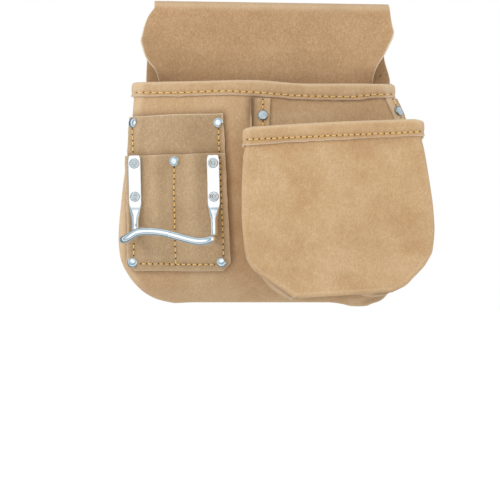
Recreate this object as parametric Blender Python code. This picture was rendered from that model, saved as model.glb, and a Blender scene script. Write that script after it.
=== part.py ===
# Carpenter nail apron: a suede pouch that hangs from a belt.
# Metres, +Z up. The front faces -Y, and +X is to the right in a view of the front.
# The origin is the middle of the belt tunnel.
# Depth is measured forward from the rear face of the back panel.

import math
import bpy
import bmesh
from mathutils import Vector

# Suede and its seams
LEATHER = 0.0018            # thickness of every panel
LAYER_GAP = 0.0004          # air between two layers that are sewn together
FOLD_RADIUS = 0.0018        # middle of the sheet, where a wall turns into its flange
HEM_ROLL = 0.0013           # middle of the sheet, where a mouth's edge rolls over
WALL_LEAVE = 0.15           # a side wall leaves its seam square to it, for this share of its run

# Back panel and the flap that closes the belt tunnel
TUNNEL_DEPTH = 0.0101       # clear depth for the belt
TUNNEL_RISE = 0.0341        # from the belt line up to where the top fold starts
PANEL_WIDTH = 0.206
PANEL_LIP = 0.0021          # the nail pocket reaches this much lower than its rear seam
FOLD_TILT = 0.003           # the top fold falls by this much from left to right
FLAP_LENGTH = 0.094
FLAP_SIDE_GAP = 0.004       # between the flap's tucked end and the nail pocket's flanges
EAR_REACH = 0.0175          # the flap's ears stand out this far past its tucked end
FLAP_CURL = 0.009           # the ears' edges curl forward by this much
CURL_ZONE = 0.28            # share of the half width in which the edges curl

# Nail pocket
MOUTH_DROP = 0.0287         # from the belt line down to the mouth
NAIL_HEIGHT = 0.182
NAIL_WIDTH = 0.236
NAIL_DEPTH = 0.040
NAIL_BULGE = 0.004
NAIL_CORNER = 0.008         # middle of the sheet, between the front and the side walls
NAIL_FLANGE = 0.010
NAIL_HEM = 0.0123

# Tape pocket
TAPE_PLACE = 0.2356         # its middle, as a share of the nail pocket's width
TAPE_DROP = 0.0641          # from the belt line down to the middle of the mouth
TAPE_TILT = 0.0048          # the mouth rises by this much from left to right
TAPE_HEIGHT = 0.1368
TAPE_WIDTH = 0.152
TAPE_DEPTH = 0.042          # from the nail pocket's front to the tape pocket's front
TAPE_CORNER = 0.0025
TAPE_FLANGE = 0.015
TAPE_HEM = 0.0140
TAB_GAP = 0.0008            # between the tabs' tops and the nail pocket's hem
TAB_RIVET = 0.6             # the tabs' rivets, as a share of the flange from its fold
TAPE_WRAP = 0.002           # the right side seam lies this far behind the nail pocket's corner

# Patch pockets
PATCH_PLACE = -0.318        # their middle, as a share of the nail pocket's width
PATCH_LEAN = 0.0027         # they lean to the right by this much on their way down
PATCH_WIDTH = 0.0766
PATCH_FLARE = 0.09          # share by which the patches widen on their way down
PATCH_SPLIT = 0.47          # the dividing seam's place, as a share of their width
PATCH_CHAMFER = 0.0065
SEAM_INSET = 0.0042         # from a patch's edge to its side seam
SLOT_MARGIN = 0.0050        # flat leather beside the dividing seam
MARKER_DROP = 0.0555
MARKER_TILT = 0.0025
MARKER_HEIGHT = 0.127
MARKER_BULGE = 0.0085       # how far the mouth stands open
PENCIL_HEIGHT = 0.0945
PENCIL_BULGE = 0.0068
SLOT_BULGE = 0.004          # of the upper patch behind each pencil slot
MARKER_FADE = 0.8           # share of the upper patch's swelling that is gone at its foot
PENCIL_FADE = 0.9           # share of the lower patch's swelling that is gone at its foot

# Hammer loop
LEG_LENGTH = 0.0385
LEG_WIDTH = 0.0103
LEG_THICKNESS = 0.0024
LEG_RIVETS = (0.17, 0.87)   # places of its rivets, as shares of its length from the top
LEG_REACH = 0.0320          # from the dividing seam to the middle of a leg
LEG_MARGIN = 0.0006         # flat leather beside a leg, before a slot's swelling starts
ROD_RADIUS = 0.0032
LOOP_DROP = 0.1555          # from the belt line down to where the arms leave the leather
LOOP_REACH = 0.0530         # how far the crossbar stands off the patches
LOOP_SPREAD = 0.0062        # how far the left arm leans outward
LOOP_TUCK = 0.0019          # how far the right arm leans inward
LOOP_BOW = 0.0032           # how far the crossbar stands in front of the arms' ends
LOOP_WAVE = 0.0036          # rise and fall of the crossbar

# Rivets
SHANK_RADIUS = 0.0015
SHANK_CLEARANCE = 0.0004
CAP_RADIUS = 0.0043
CAP_HEIGHT = 0.0021
WASHER_RADIUS = 0.0031
WASHER_HEIGHT = 0.0009
WASHER_FREEDOM = 1.4        # a washer clears a curved wall over its radius times this
HOLE_REACH = 0.009          # how far a rivet's hole is cut through the layers
RIVET_SIDES = 10

LAYER = LEATHER + LAYER_GAP
SEAT_DEPTH = 1.5 * LEATHER + LAYER_GAP
BELT_DEPTH = LEATHER + TUNNEL_DEPTH / 2
PANEL_HEIGHT = TUNNEL_RISE + MOUTH_DROP + NAIL_HEIGHT - PANEL_LIP + LEATHER / 2
PROBE = 0.0004              # step used to find a surface's direction
CORNER_ROWS = 3             # steps round a pocket's front corner
HEM_ROWS = 2                # steps down a folded hem


# Tables and smooth steps

def smooth_between(keys, values, at):
    # Cubic through the rows that never swings past them
    if at <= keys[0]:
        return values[0]
    if at >= keys[-1]:
        return values[-1]
    spans = [keys[k + 1] - keys[k] for k in range(len(keys) - 1)]
    slopes = [(values[k + 1] - values[k]) / spans[k] for k in range(len(spans))]
    k = max(index for index in range(len(spans)) if keys[index] <= at)

    def tangent(row):
        if row == 0 or row == len(spans):
            return slopes[min(row, len(spans) - 1)]
        before = slopes[row - 1]
        after = slopes[row]
        if before * after <= 0:
            return 0.0
        return 2 * before * after / (before + after)

    t = (at - keys[k]) / spans[k]
    rise = values[k + 1] - values[k]
    curve = values[k] + rise * (3 * t * t - 2 * t ** 3)
    curve += spans[k] * tangent(k) * (t - 2 * t * t + t ** 3)
    return curve + spans[k] * tangent(k + 1) * (t ** 3 - t * t)


def table(columns, rows):
    # One reading function for each named column, by the first one
    keys = [row[0] for row in rows]

    def reader(index):
        values = [row[index] for row in rows]
        return lambda at: smooth_between(keys, values, at)

    return {name: reader(index) for index, name in enumerate(columns.split())}


def ease(value):
    value = min(1.0, max(0.0, value))
    return value * value * (3 - 2 * value)


def arch(value, start, end):
    if value <= start or value >= end:
        return 0.0
    return math.sin(math.pi * (value - start) / (end - start)) ** 2


def mix(start, end, share):
    return start + (end - start) * share


def place(x, depth, z):
    return Vector((x, BELT_DEPTH - depth, z))


# Edges and depths, as shares of the sizes above, from the top down

PANEL = table("down left right", [
    (0.000, -0.471, 0.485),
    (0.060, -0.478, 0.485),
    (0.156, -0.490, 0.474),
    (0.250, -0.495, 0.498),
    (0.390, -0.498, 0.498),
    (0.630, -0.505, 0.503),
    (0.840, -0.503, 0.500),
    (0.905, -0.484, 0.479),
    (0.953, -0.446, 0.441),
    (0.983, -0.396, 0.391),
    (1.000, -0.340, 0.340),
])

FLAP = table("down left_ear right_ear stand curl", [
    (0.000, 0.49, 0.66, 1.00, 0.00),
    (0.065, 0.60, 0.75, 1.02, 0.15),
    (0.150, 0.80, 0.92, 1.05, 0.60),
    (0.267, 0.95, 0.83, 1.08, 1.00),
    (0.363, 0.74, 0.57, 1.10, 1.00),
    (0.448, 0.40, 0.22, 1.06, 0.90),
    (0.540, 0.14, 0.00, 1.00, 0.60),
    (0.620, 0.09, -0.08, 0.90, 0.30),
    (0.690, 0.06, -0.12, 0.78, 0.10),
    (0.770, 0.03, -0.16, 0.55, 0.00),
    (0.850, 0.00, -0.20, 0.14, 0.00),
    (0.920, 0.00, -0.22, 0.00, 0.00),
    (1.000, 0.00, -0.22, 0.00, 0.00),
])

NAIL = table("down left right depth swell turn", [
    (0.000, -0.460, 0.428, 0.93, 0.90, 0),
    (0.068, -0.464, 0.432, 0.94, 1.00, 0),
    (0.117, -0.467, 0.4445, 0.95, 1.00, 0),
    (0.155, -0.469, 0.453, 0.96, 1.00, 0),
    (0.200, -0.473, 0.460, 0.97, 1.00, 0),
    (0.326, -0.487, 0.464, 0.98, 1.00, 0),
    (0.529, -0.507, 0.470, 1.00, 1.00, 0),
    (0.705, -0.517, 0.474, 1.00, 0.90, 0),
    (0.776, -0.512, 0.470, 0.97, 0.80, 0),
    (0.820, -0.502, 0.462, 0.92, 0.65, 6),
    (0.864, -0.484, 0.445, 0.85, 0.50, 18),
    (0.910, -0.458, 0.421, 0.74, 0.35, 30),
    (0.947, -0.430, 0.397, 0.61, 0.20, 40),
    (0.978, -0.390, 0.368, 0.47, 0.10, 50),
    (1.000, -0.330, 0.325, 0.33, 0.00, 65),
])

TAPE = table("down left right depth turn", [
    (0.000, -0.478, 0.425, 1.00, 0),
    (0.100, -0.482, 0.430, 1.00, 0),
    (0.160, -0.492, 0.442, 1.01, 0),
    (0.380, -0.501, 0.475, 1.00, 0),
    (0.520, -0.501, 0.492, 0.97, 0),
    (0.640, -0.493, 0.499, 0.93, 0),
    (0.760, -0.478, 0.490, 0.86, 10),
    (0.810, -0.457, 0.470, 0.84, 22),
    (0.850, -0.426, 0.448, 0.82, 35),
    (0.880, -0.386, 0.424, 0.81, 45),
    (0.920, -0.332, 0.390, 0.79, 50),
    (0.960, -0.279, 0.356, 0.77, 52),
    (1.000, -0.234, 0.288, 0.74, 65),
])

# Where the tape pocket's seam meets the nail pocket: the left side as a share of the tape
# pocket's width from its middle, the right side as a share of the way back from the corner
TAPE_SEAM = table("down left right turn flange", [
    (0.000, -0.453, 1.00, 0, 1.00),
    (0.120, -0.458, 1.00, 0, 1.00),
    (0.350, -0.465, 1.00, 0, 0.90),
    (0.600, -0.463, 1.00, 0, 0.80),
    (0.780, -0.440, 0.80, 10, 0.60),
    (0.850, -0.410, 0.60, 25, 0.50),
    (0.900, -0.370, 0.35, 38, 0.50),
    (0.950, -0.315, 0.00, 48, 0.50),
    (1.000, -0.240, -0.60, 65, 0.50),
])

# Hammer loop's arms, from the leather forward: forward as a share of the reach, fall in rod
# radii, lean as a share of the arm's own lean
LOOP_ARM = (
    (0.05, 0.3, 0.0),
    (0.20, 0.6, 0.1),
    (0.50, 1.0, 0.5),
    (0.80, 1.1, 0.9),
    (0.95, 1.0, 0.9),
)

# Its crossbar from the left arm's end to the right one's: share of the way, forward as a share
# of the bow, and height as a share of the wave
LOOP_BAR = (
    (0.07, 0.85, 0.60),
    (0.18, 1.00, 1.00),
    (0.30, 1.00, 1.15),
    (0.45, 1.00, 0.90),
    (0.60, 1.00, 0.30),
    (0.75, 1.00, -0.40),
    (0.86, 1.00, -0.70),
    (0.95, 0.80, -0.50),
)

# A rivet's cap from its top to its rim: radius and height, as shares of the cap's
CAP_SHAPE = (
    (0.00, 1.00),
    (0.55, 0.88),
    (0.88, 0.52),
    (1.00, 0.12),
    (0.95, 0.00),
)


# Nail pocket's wall, which carries the patches, the tape pocket and the rivets

NAIL_ROWS = (0.155, 0.26, 0.40, 0.56, 0.70, 0.79, 0.86, 0.91, 0.95, 0.98, 1.0)


def nail_down(z):
    return (-z - MOUTH_DROP) / NAIL_HEIGHT


def nail_edges(z):
    down = nail_down(z)
    return NAIL_WIDTH * NAIL["left"](down), NAIL_WIDTH * NAIL["right"](down)


def nail_front(x, z):
    down = nail_down(z)
    left, right = nail_edges(z)
    start = left + NAIL_CORNER
    across = min(1.0, max(0.0, (x - start) / (right - left - 2 * NAIL_CORNER)))
    bow = 1 - (2 * across - 1) ** 2
    return NAIL_DEPTH * NAIL["depth"](down) + NAIL_BULGE * NAIL["swell"](down) * bow


def nail_wall(girth, z):
    # Girth is x on the front, and goes on round the corners and back along the side walls
    left, right = nail_edges(z)
    start = min(max(girth, left + NAIL_CORNER), right - NAIL_CORNER)
    depth = nail_front(start, z)
    past = girth - start
    side = math.copysign(1.0, past)
    turned = min(abs(past) / NAIL_CORNER, math.pi / 2)
    straight = abs(past) - turned * NAIL_CORNER
    x = start + side * NAIL_CORNER * math.sin(turned)
    return place(x, depth - NAIL_CORNER * (1 - math.cos(turned)) - straight, z)


def nail_normal(girth, z):
    across = nail_wall(girth + PROBE, z) - nail_wall(girth - PROBE, z)
    upward = nail_wall(girth, z + PROBE) - nail_wall(girth, z - PROBE)
    return across.cross(upward).normalized()


def on_nail_wall(girth, z, height):
    return nail_wall(girth, z) + nail_normal(girth, z) * height


def nail_right_corner(z):
    # Girth at which the right corner's turn ends
    return nail_edges(z)[1] - NAIL_CORNER + NAIL_CORNER * math.pi / 2


def tab_top():
    return -MOUTH_DROP - NAIL_HEM - TAB_GAP


# Building sheets

def make_material(name, color, roughness, metallic=0.0):
    material = bpy.data.materials.new(name)
    material.use_nodes = True
    shader = material.node_tree.nodes["Principled BSDF"]
    shader.inputs["Base Color"].default_value = (*color, 1.0)
    shader.inputs["Roughness"].default_value = roughness
    shader.inputs["Metallic"].default_value = metallic
    return material


def add_grid(mesh, rows):
    corners = [[mesh.verts.new(point) for point in row] for row in rows]
    for above, below in zip(corners, corners[1:]):
        for k in range(len(above) - 1):
            mesh.faces.new((above[k], below[k], below[k + 1], above[k + 1]))


def make_sheet(name, grids, material):
    # Several grids that share their edges, welded and given the leather's thickness
    shape = bmesh.new()
    for rows in grids:
        add_grid(shape, rows)
    bmesh.ops.remove_doubles(shape, verts=shape.verts, dist=0.00001)
    bmesh.ops.recalc_face_normals(shape, faces=shape.faces)
    data = bpy.data.meshes.new(name)
    shape.to_mesh(data)
    shape.free()
    data.shade_smooth()
    sheet = bpy.data.objects.new(name, data)
    bpy.context.scene.collection.objects.link(sheet)
    data.materials.append(material)
    wall = sheet.modifiers.new("leather", "SOLIDIFY")
    wall.thickness = LEATHER
    wall.offset = 0.0
    wall.use_even_offset = True
    return sheet


def outward(turn, side):
    # Direction in the front view: sideways at 0 degrees, straight down at 90
    angle = math.radians(turn)
    return Vector((side * math.cos(angle), 0.0, -math.sin(angle)))


# Back panel: up behind the pockets, over the belt tunnel and down as the flap

def panel_edges(z):
    down = (TUNNEL_RISE - z) / PANEL_HEIGHT
    return PANEL_WIDTH * PANEL["left"](down), PANEL_WIDTH * PANEL["right"](down)


def flap_edges(down):
    tucked = PANEL_WIDTH / 2 - NAIL_FLANGE - FLAP_SIDE_GAP
    left = tucked + EAR_REACH * FLAP["left_ear"](down)
    right = tucked + EAR_REACH * FLAP["right_ear"](down)
    return -left, right


def fold_fall(across, z):
    return FOLD_TILT * across * ease(z / TUNNEL_RISE)


def build_back_panel(material):
    columns = [k / 14 for k in range(15)]
    rise_rows = (1.0, 0.982, 0.953, 0.905, 0.84, 0.63, 0.39, 0.25, 0.156, 0.06, 0.0)
    flap_rows = (0.065, 0.15, 0.267, 0.363, 0.448, 0.54, 0.62, 0.69, 0.77, 0.85, 0.92, 1.0)
    turns = 6
    fold_radius = (TUNNEL_DEPTH + LEATHER) / 2
    rows = []
    for down in rise_rows:
        z = TUNNEL_RISE - PANEL_HEIGHT * down
        left, right = panel_edges(z)
        rows.append([place(mix(left, right, a), LEATHER / 2, z - fold_fall(a, z)) for a in columns])
    rear_left, rear_right = panel_edges(TUNNEL_RISE)
    front_left, front_right = flap_edges(0.0)
    for k in range(1, turns + 1):
        angle = math.pi * k / turns
        left = mix(rear_left, front_left, k / turns)
        right = mix(rear_right, front_right, k / turns)
        depth = LEATHER / 2 + fold_radius * (1 - math.cos(angle))
        z = TUNNEL_RISE + fold_radius * math.sin(angle)
        rows.append([place(mix(left, right, a), depth, z - fold_fall(a, z)) for a in columns])
    for down in flap_rows:
        z = TUNNEL_RISE - FLAP_LENGTH * down
        left, right = flap_edges(down)
        stand = 1.5 * LEATHER + max(LAYER_GAP, TUNNEL_DEPTH * FLAP["stand"](down))
        row = []
        for a in columns:
            lift = max(0.0, (abs(2 * a - 1) - 1 + CURL_ZONE) / CURL_ZONE) ** 2
            depth = stand + FLAP_CURL * FLAP["curl"](down) * lift
            row.append(place(mix(left, right, a), depth, z - fold_fall(a, z)))
        rows.append(row)
    return make_sheet("back_panel", [rows], material)


# A pocket is a front grid and a strip round its two sides and its bottom.
# The strip turns the front corner, runs back as a wall and turns in as a flange.

def side_row(edge, outer, start_angle, corner, seam, flange, flange_rows):
    wall_rows = 3
    center = edge - outer * (corner * math.sin(start_angle))
    center += Vector((0.0, corner * math.cos(start_angle), 0.0))
    points = [edge]
    for k in range(1, CORNER_ROWS + 1):
        angle = mix(start_angle, math.pi / 2, k / CORNER_ROWS)
        forward = Vector((0.0, -corner * math.cos(angle), 0.0))
        points.append(center + outer * (corner * math.sin(angle)) + forward)
    silhouette = points[-1]
    foot = seam(0.0, FOLD_RADIUS)
    leave = seam(0.0, FOLD_RADIUS + WALL_LEAVE * (silhouette - foot).length)
    for k in range(1, wall_rows):
        share = k / wall_rows
        points.append(silhouette.lerp(leave, share).lerp(leave.lerp(foot, share), share))
    points.append(foot)
    half = math.sin(math.pi / 4)
    points.append(seam(FOLD_RADIUS * (1 - half), FOLD_RADIUS * (1 - half)))
    for k in range(flange_rows + 1):
        points.append(seam(mix(FOLD_RADIUS, flange, k / flange_rows), 0.0))
    return points


def hem_grid(paths):
    # Rolls the mouth over outward. Each path runs down the wall from the mouth
    columns = []
    for k, path in enumerate(paths):
        before = paths[max(0, k - 1)]
        after = paths[min(len(paths) - 1, k + 1)]
        along = after[0] - before[0]
        out = along.cross(Vector((0.0, 0.0, 1.0))).normalized()
        mouth = path[0]
        column = [mouth]
        for turn in (60, 120, 180):
            angle = math.radians(turn)
            roll = out * (HEM_ROLL * (1 - math.cos(angle)))
            column.append(mouth + roll + Vector((0.0, 0.0, HEM_ROLL * math.sin(angle))))
        for row in range(1, HEM_ROWS + 1):
            offset = mix(2 * HEM_ROLL, LAYER, row / HEM_ROWS)
            column.append(path[row] + out * offset)
        columns.append(column)
    return [list(row) for row in zip(*columns)]


def hem_paths(front, strip, turned):
    # The mouth's edge and the rows below it: the left side, the front and the right side.
    # The hem goes round each front corner by this many points
    rows = range(HEM_ROWS + 1)
    left = [[strip[j][k] for j in rows] for k in range(turned, 0, -1)]
    middle = [[front[j][k] for j in rows] for k in range(len(front[0]))]
    right = [[strip[-1 - j][k] for j in rows] for k in range(1, turned + 1)]
    return left + middle + right


def build_nail_pocket(material):
    hem = NAIL_HEM / NAIL_HEIGHT
    downs = (0.0, hem / 2, hem, *NAIL_ROWS)
    steps = 12
    slope = math.pi / 4

    def start_angle(turn):
        return slope * ease(turn / 65)

    def front_point(x, z):
        return place(x, nail_front(x, z), z)

    def side_edge(down, side):
        turn = NAIL["turn"](down)
        z = -MOUTH_DROP - NAIL_HEIGHT * down
        silhouette = Vector((nail_edges(z)[0 if side < 0 else 1], 0.0, z))
        inset = NAIL_CORNER * (1 - math.sin(start_angle(turn)))
        edge = silhouette - outward(turn, side) * inset
        return front_point(edge.x, edge.z)

    def rear_seam(x, z, outer):
        def seam(inward, height):
            spot = Vector((x, 0.0, z)) - outer * inward
            return place(spot.x, SEAT_DEPTH + height, spot.z)
        return seam

    def seam_spot(down, side):
        z = -MOUTH_DROP - (NAIL_HEIGHT - PANEL_LIP) * down
        return panel_edges(z)[0 if side < 0 else 1] - side * LEATHER / 2, z

    front = []
    for down in downs:
        left = side_edge(down, -1)
        right = side_edge(down, 1)
        row = []
        for k in range(steps + 1):
            share = k / steps
            row.append(front_point(mix(left.x, right.x, share), mix(left.z, right.z, share)))
        front.append(row)

    strip = []
    for side, order in ((-1, range(len(downs))), (1, reversed(range(len(downs))))):
        for j in order:
            turn = NAIL["turn"](downs[j])
            edge = front[j][0 if side < 0 else -1]
            outer = outward(turn, side)
            x, z = seam_spot(downs[j], side)
            seam = rear_seam(x, z, outer)
            strip.append(side_row(edge, outer, start_angle(turn), NAIL_CORNER, seam, NAIL_FLANGE, 1))
        if side < 0:
            first_x, z = seam_spot(1.0, -1)
            last_x = seam_spot(1.0, 1)[0]
            down_dir = outward(90, 1)
            for k in range(1, steps):
                edge = front[-1][k]
                seam = rear_seam(mix(first_x, last_x, k / steps), z, down_dir)
                strip.append(side_row(edge, down_dir, slope, NAIL_CORNER, seam, NAIL_FLANGE, 1))

    hem_part = hem_grid(hem_paths(front, strip, CORNER_ROWS + 2))
    return make_sheet("nail_pocket", [front, strip, hem_part], material)


def build_tape_pocket(material):
    hem = TAPE_HEM / TAPE_HEIGHT
    downs = (0.0, hem / 2, hem, 0.22, 0.40, 0.58, 0.70, 0.79, 0.84, 0.88, 0.92, 0.96, 1.0)
    steps = 10
    middle = TAPE_PLACE * NAIL_WIDTH

    def height_at(down, share):
        return -TAPE_DROP + TAPE_TILT * (share - 0.5) - TAPE_HEIGHT * down

    def front_depth(down):
        return NAIL_DEPTH + TAPE_DEPTH * TAPE["depth"](down)

    def side_edge(down, side):
        name = "left" if side < 0 else "right"
        turn = TAPE["turn"](down)
        z = height_at(down, 0 if side < 0 else 1)
        silhouette = Vector((middle + TAPE_WIDTH * TAPE[name](down), 0.0, z))
        edge = silhouette - outward(turn, side) * TAPE_CORNER
        return place(edge.x, front_depth(down), edge.z)

    def seam_on_nail(girth, z, outer):
        def seam(inward, height):
            return on_nail_wall(girth - outer.x * inward, z - outer.z * inward, LAYER + height)
        return seam

    def seam_spot(down, side):
        top = tab_top()
        bottom = height_at(1.0, 0.5) + 2 * TAPE_CORNER
        z = mix(top, bottom, down)
        if side < 0:
            return middle + TAPE_WIDTH * TAPE_SEAM["left"](down), z
        wrap = NAIL_CORNER * math.pi / 2 + TAPE_WRAP
        behind = nail_right_corner(z) + TAPE_WRAP
        return behind - wrap * (1 - TAPE_SEAM["right"](down)), z

    front = []
    for down in downs:
        left = side_edge(down, -1)
        right = side_edge(down, 1)
        front.append([left.lerp(right, k / steps) for k in range(steps + 1)])

    strip = []
    for side, order in ((-1, range(len(downs))), (1, reversed(range(len(downs))))):
        for j in order:
            turn = TAPE["turn"](downs[j])
            edge = front[j][0 if side < 0 else -1]
            girth, z = seam_spot(downs[j], side)
            seam = seam_on_nail(girth, z, outward(TAPE_SEAM["turn"](downs[j]), side))
            flange = TAPE_FLANGE * TAPE_SEAM["flange"](downs[j])
            strip.append(side_row(edge, outward(turn, side), 0.0, TAPE_CORNER, seam, flange, 4))
        if side < 0:
            first_girth, z = seam_spot(1.0, -1)
            last_girth = seam_spot(1.0, 1)[0]
            down_dir = outward(90, 1)
            for k in range(1, steps):
                edge = front[-1][k]
                seam = seam_on_nail(mix(first_girth, last_girth, k / steps), z, down_dir)
                flange = TAPE_FLANGE * TAPE_SEAM["flange"](1.0)
                strip.append(side_row(edge, down_dir, 0.0, TAPE_CORNER, seam, flange, 4))

    hem_part = hem_grid(hem_paths(front, strip, CORNER_ROWS + 1))
    return make_sheet("tape_pocket", [front, strip, hem_part], material)


# Patch pockets, sewn on the nail pocket's front and round its left corner

def patch_fall(z):
    return (-z - MARKER_DROP) / MARKER_HEIGHT


def patch_edges(z):
    middle = PATCH_PLACE * NAIL_WIDTH + PATCH_LEAN * patch_fall(z)
    half = PATCH_WIDTH / 2 * (1 + PATCH_FLARE * patch_fall(z))
    return middle - half, middle + half


def patch_split(z):
    return mix(*patch_edges(z), PATCH_SPLIT)


def pencil_mouth():
    return -MARKER_DROP - MARKER_HEIGHT + PENCIL_HEIGHT


def slot_arch(girth, z):
    # Swelling of a pencil slot, between the dividing seam and the hammer loop's leg
    away = abs(girth - patch_split(z))
    return arch(away, SLOT_MARGIN, LEG_REACH - LEG_WIDTH / 2 - LEG_MARGIN)


def below_mouth(z):
    return min(1.0, max(0.0, (pencil_mouth() - z) / PENCIL_HEIGHT))


def marker_bulge(girth, z):
    opening = ease((z - pencil_mouth()) / (MARKER_HEIGHT - PENCIL_HEIGHT))
    left, right = patch_edges(z)
    flat = SEAM_INSET + CAP_RADIUS + LAYER_GAP
    wide = MARKER_BULGE * opening * arch(girth, left + flat, right - flat)
    return wide + SLOT_BULGE * (1 - opening) * (1 - MARKER_FADE * below_mouth(z)) * slot_arch(girth, z)


def pencil_bulge(girth, z):
    return PENCIL_BULGE * (1 - PENCIL_FADE * below_mouth(z)) * slot_arch(girth, z)


def patch_columns(z, cut):
    # From the left edge to the right one: the edge, the leg, the slot and the dividing seam
    split = patch_split(z)
    left, right = patch_edges(z)
    inner = LEG_REACH - LEG_WIDTH / 2 - LEG_MARGIN
    slot_steps = 5
    slot = [mix(SLOT_MARGIN, inner, k / slot_steps) for k in range(slot_steps + 1)]

    def side(edge, steps):
        return slot + [mix(inner, edge, k / steps) for k in range(1, steps + 1)]

    left_side = [split - away for away in side(split - left - cut, 4)]
    right_side = [split + away for away in side(right - split - cut, 3)]
    return left_side[::-1] + [split] + right_side


def build_patch(name, height, layers, bulge, downs, material):
    # Below the mouth, the rows lie on the nail pocket's own rows
    bottom = -MARKER_DROP - MARKER_HEIGHT
    levels = [bottom + height * (1 - down) for down in downs]
    wall_levels = [-MOUTH_DROP - NAIL_HEIGHT * down for down in NAIL_ROWS]
    levels += [z for z in wall_levels if levels[-1] - PATCH_CHAMFER > z > bottom + PATCH_CHAMFER]
    levels += [bottom + PATCH_CHAMFER, bottom]
    rows = []
    for level in levels:
        down = 1 - (level - bottom) / height
        cut = max(0.0, bottom + PATCH_CHAMFER - level)
        left, right = patch_edges(level)
        row = []
        for girth in patch_columns(level, cut):
            across = (girth - left) / (right - left) - 0.5
            z = level + MARKER_TILT * across * (1 - down)
            row.append(on_nail_wall(girth, z, layers * LAYER + bulge(girth, z)))
        rows.append(row)
    return make_sheet(name, [rows], material)


def build_patches(material):
    marker_rows = (0.0, 0.08, 0.16, 0.25)
    pencil_rows = (0.0, 0.13, 0.29)

    def both_bulges(girth, z):
        return marker_bulge(girth, z) + pencil_bulge(girth, z)

    marker = build_patch("marker_patch", MARKER_HEIGHT, 1, marker_bulge, marker_rows, material)
    pencil = build_patch("pencil_patch", PENCIL_HEIGHT, 2, both_bulges, pencil_rows, material)
    return marker, pencil


# Hammer loop: flat legs on the patches, round arms and a wavy crossbar

def leg_seat(side, z, height):
    # The leg lies flat on the surface at its inner edge
    inner = patch_split(z) + side * (LEG_REACH - LEG_WIDTH / 2)
    normal = nail_normal(inner, z)
    across = normal.cross(Vector((0.0, 0.0, -1.0))).normalized()
    spot = on_nail_wall(inner, z, 2.5 * LEATHER + 3 * LAYER_GAP + height)
    return spot + across * (side * LEG_WIDTH / 2), normal


def loop_route():
    # Points with the section's half width and half thickness there
    flat = (LEG_WIDTH / 2, LEG_THICKNESS / 2)
    round_rod = (ROD_RADIUS, ROD_RADIUS)
    top = pencil_mouth() - LEATHER / 2
    bottom = top - LEG_LENGTH
    stations = [(top, 0.0), (mix(top, bottom, 0.5), 0.0), (bottom, 0.0), (mix(bottom, -LOOP_DROP, 0.25), 0.5),
                (mix(bottom, -LOOP_DROP, 0.5), 1.0), (-LOOP_DROP + 2 * ROD_RADIUS, 1.0)]

    def leg(side):
        points = []
        for z, rounding in stations:
            half_width = mix(flat[0], round_rod[0], rounding)
            half_thickness = mix(flat[1], round_rod[1], rounding)
            spot, normal = leg_seat(side, z, half_thickness)
            points.append((spot, half_width, half_thickness, rounding))
        return points

    def arm(side, lean):
        root = leg_seat(side, -LOOP_DROP, ROD_RADIUS)[0]
        reach = LOOP_REACH - ROD_RADIUS
        points = []
        for forward, fall, out in LOOP_ARM:
            shift = Vector((side * lean * out, -reach * forward, -ROD_RADIUS * fall))
            points.append((root + shift, *round_rod, 1.0))
        return points

    left_arm = arm(-1, LOOP_SPREAD)
    right_arm = arm(1, -LOOP_TUCK)
    start = left_arm[-1][0]
    end = right_arm[-1][0]
    bar = []
    for share, forward, height in LOOP_BAR:
        spot = start.lerp(end, share)
        spot += Vector((0.0, -LOOP_BOW * forward, LOOP_WAVE * height))
        bar.append((spot, *round_rod, 1.0))
    return leg(-1) + left_arm + bar + right_arm[::-1] + leg(1)[::-1]


def smooth_route(stations, cuts):
    # Catmull-Rom through the stations, sizes mixed along with the places
    route = []
    for k in range(len(stations) - 1):
        before = stations[max(0, k - 1)][0]
        start, *start_size = stations[k]
        end, *end_size = stations[k + 1]
        after = stations[min(len(stations) - 1, k + 2)][0]
        for cut in range(cuts):
            t = cut / cuts
            spot = (start * 2 + (end - before) * t + (before * 2 - start * 5 + end * 4 - after) * t * t
                    + (start * 3 - before - end * 3 + after) * t ** 3) * 0.5
            route.append((spot, *(mix(a, b, t) for a, b in zip(start_size, end_size))))
    route.append(stations[-1])
    return route


def route_frames(route):
    # Each leg's facing is carried along the rod as far as the crossbar's middle
    last = len(route) - 1
    frames = [None] * len(route)
    for side, order in ((-1, range(len(route) // 2)), (1, range(last, len(route) // 2 - 1, -1))):
        normal = leg_seat(side, route[order[0]][0].z, 0.0)[1]
        for k in order:
            ahead = route[min(k + 1, last)][0] - route[max(k - 1, 0)][0]
            across = ahead.cross(normal).normalized()
            normal = across.cross(ahead).normalized()
            frames[k] = (across, normal)
    return frames


def build_hammer_loop(material):
    sides = 10
    flat_power = 0.35       # lower is squarer: the legs' section
    route = smooth_route(loop_route(), 2)
    shape = bmesh.new()
    rings = []
    for (spot, half_width, half_thickness, rounding), (across, normal) in zip(route, route_frames(route)):
        ring = []
        for step in range(sides):
            angle = 2 * math.pi * (step + 0.5) / sides
            square = mix(flat_power, 1.0, rounding)
            wide = math.copysign(abs(math.cos(angle)) ** square, math.cos(angle))
            thick = math.copysign(abs(math.sin(angle)) ** square, math.sin(angle))
            corner = spot + across * (half_width * wide) + normal * (half_thickness * thick)
            ring.append(shape.verts.new(corner))
        rings.append(ring)
    for near, far in zip(rings, rings[1:]):
        for k in range(sides):
            following = (k + 1) % sides
            shape.faces.new((near[k], near[following], far[following], far[k]))
    shape.faces.new(rings[0])
    shape.faces.new(rings[-1])
    bmesh.ops.recalc_face_normals(shape, faces=shape.faces)
    data = bpy.data.meshes.new("hammer_loop")
    shape.to_mesh(data)
    shape.free()
    data.shade_smooth()
    data.set_sharp_from_angle(angle=math.radians(40))
    loop = bpy.data.objects.new("hammer_loop", data)
    bpy.context.scene.collection.objects.link(loop)
    data.materials.append(material)
    return loop


# Rivets

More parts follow.
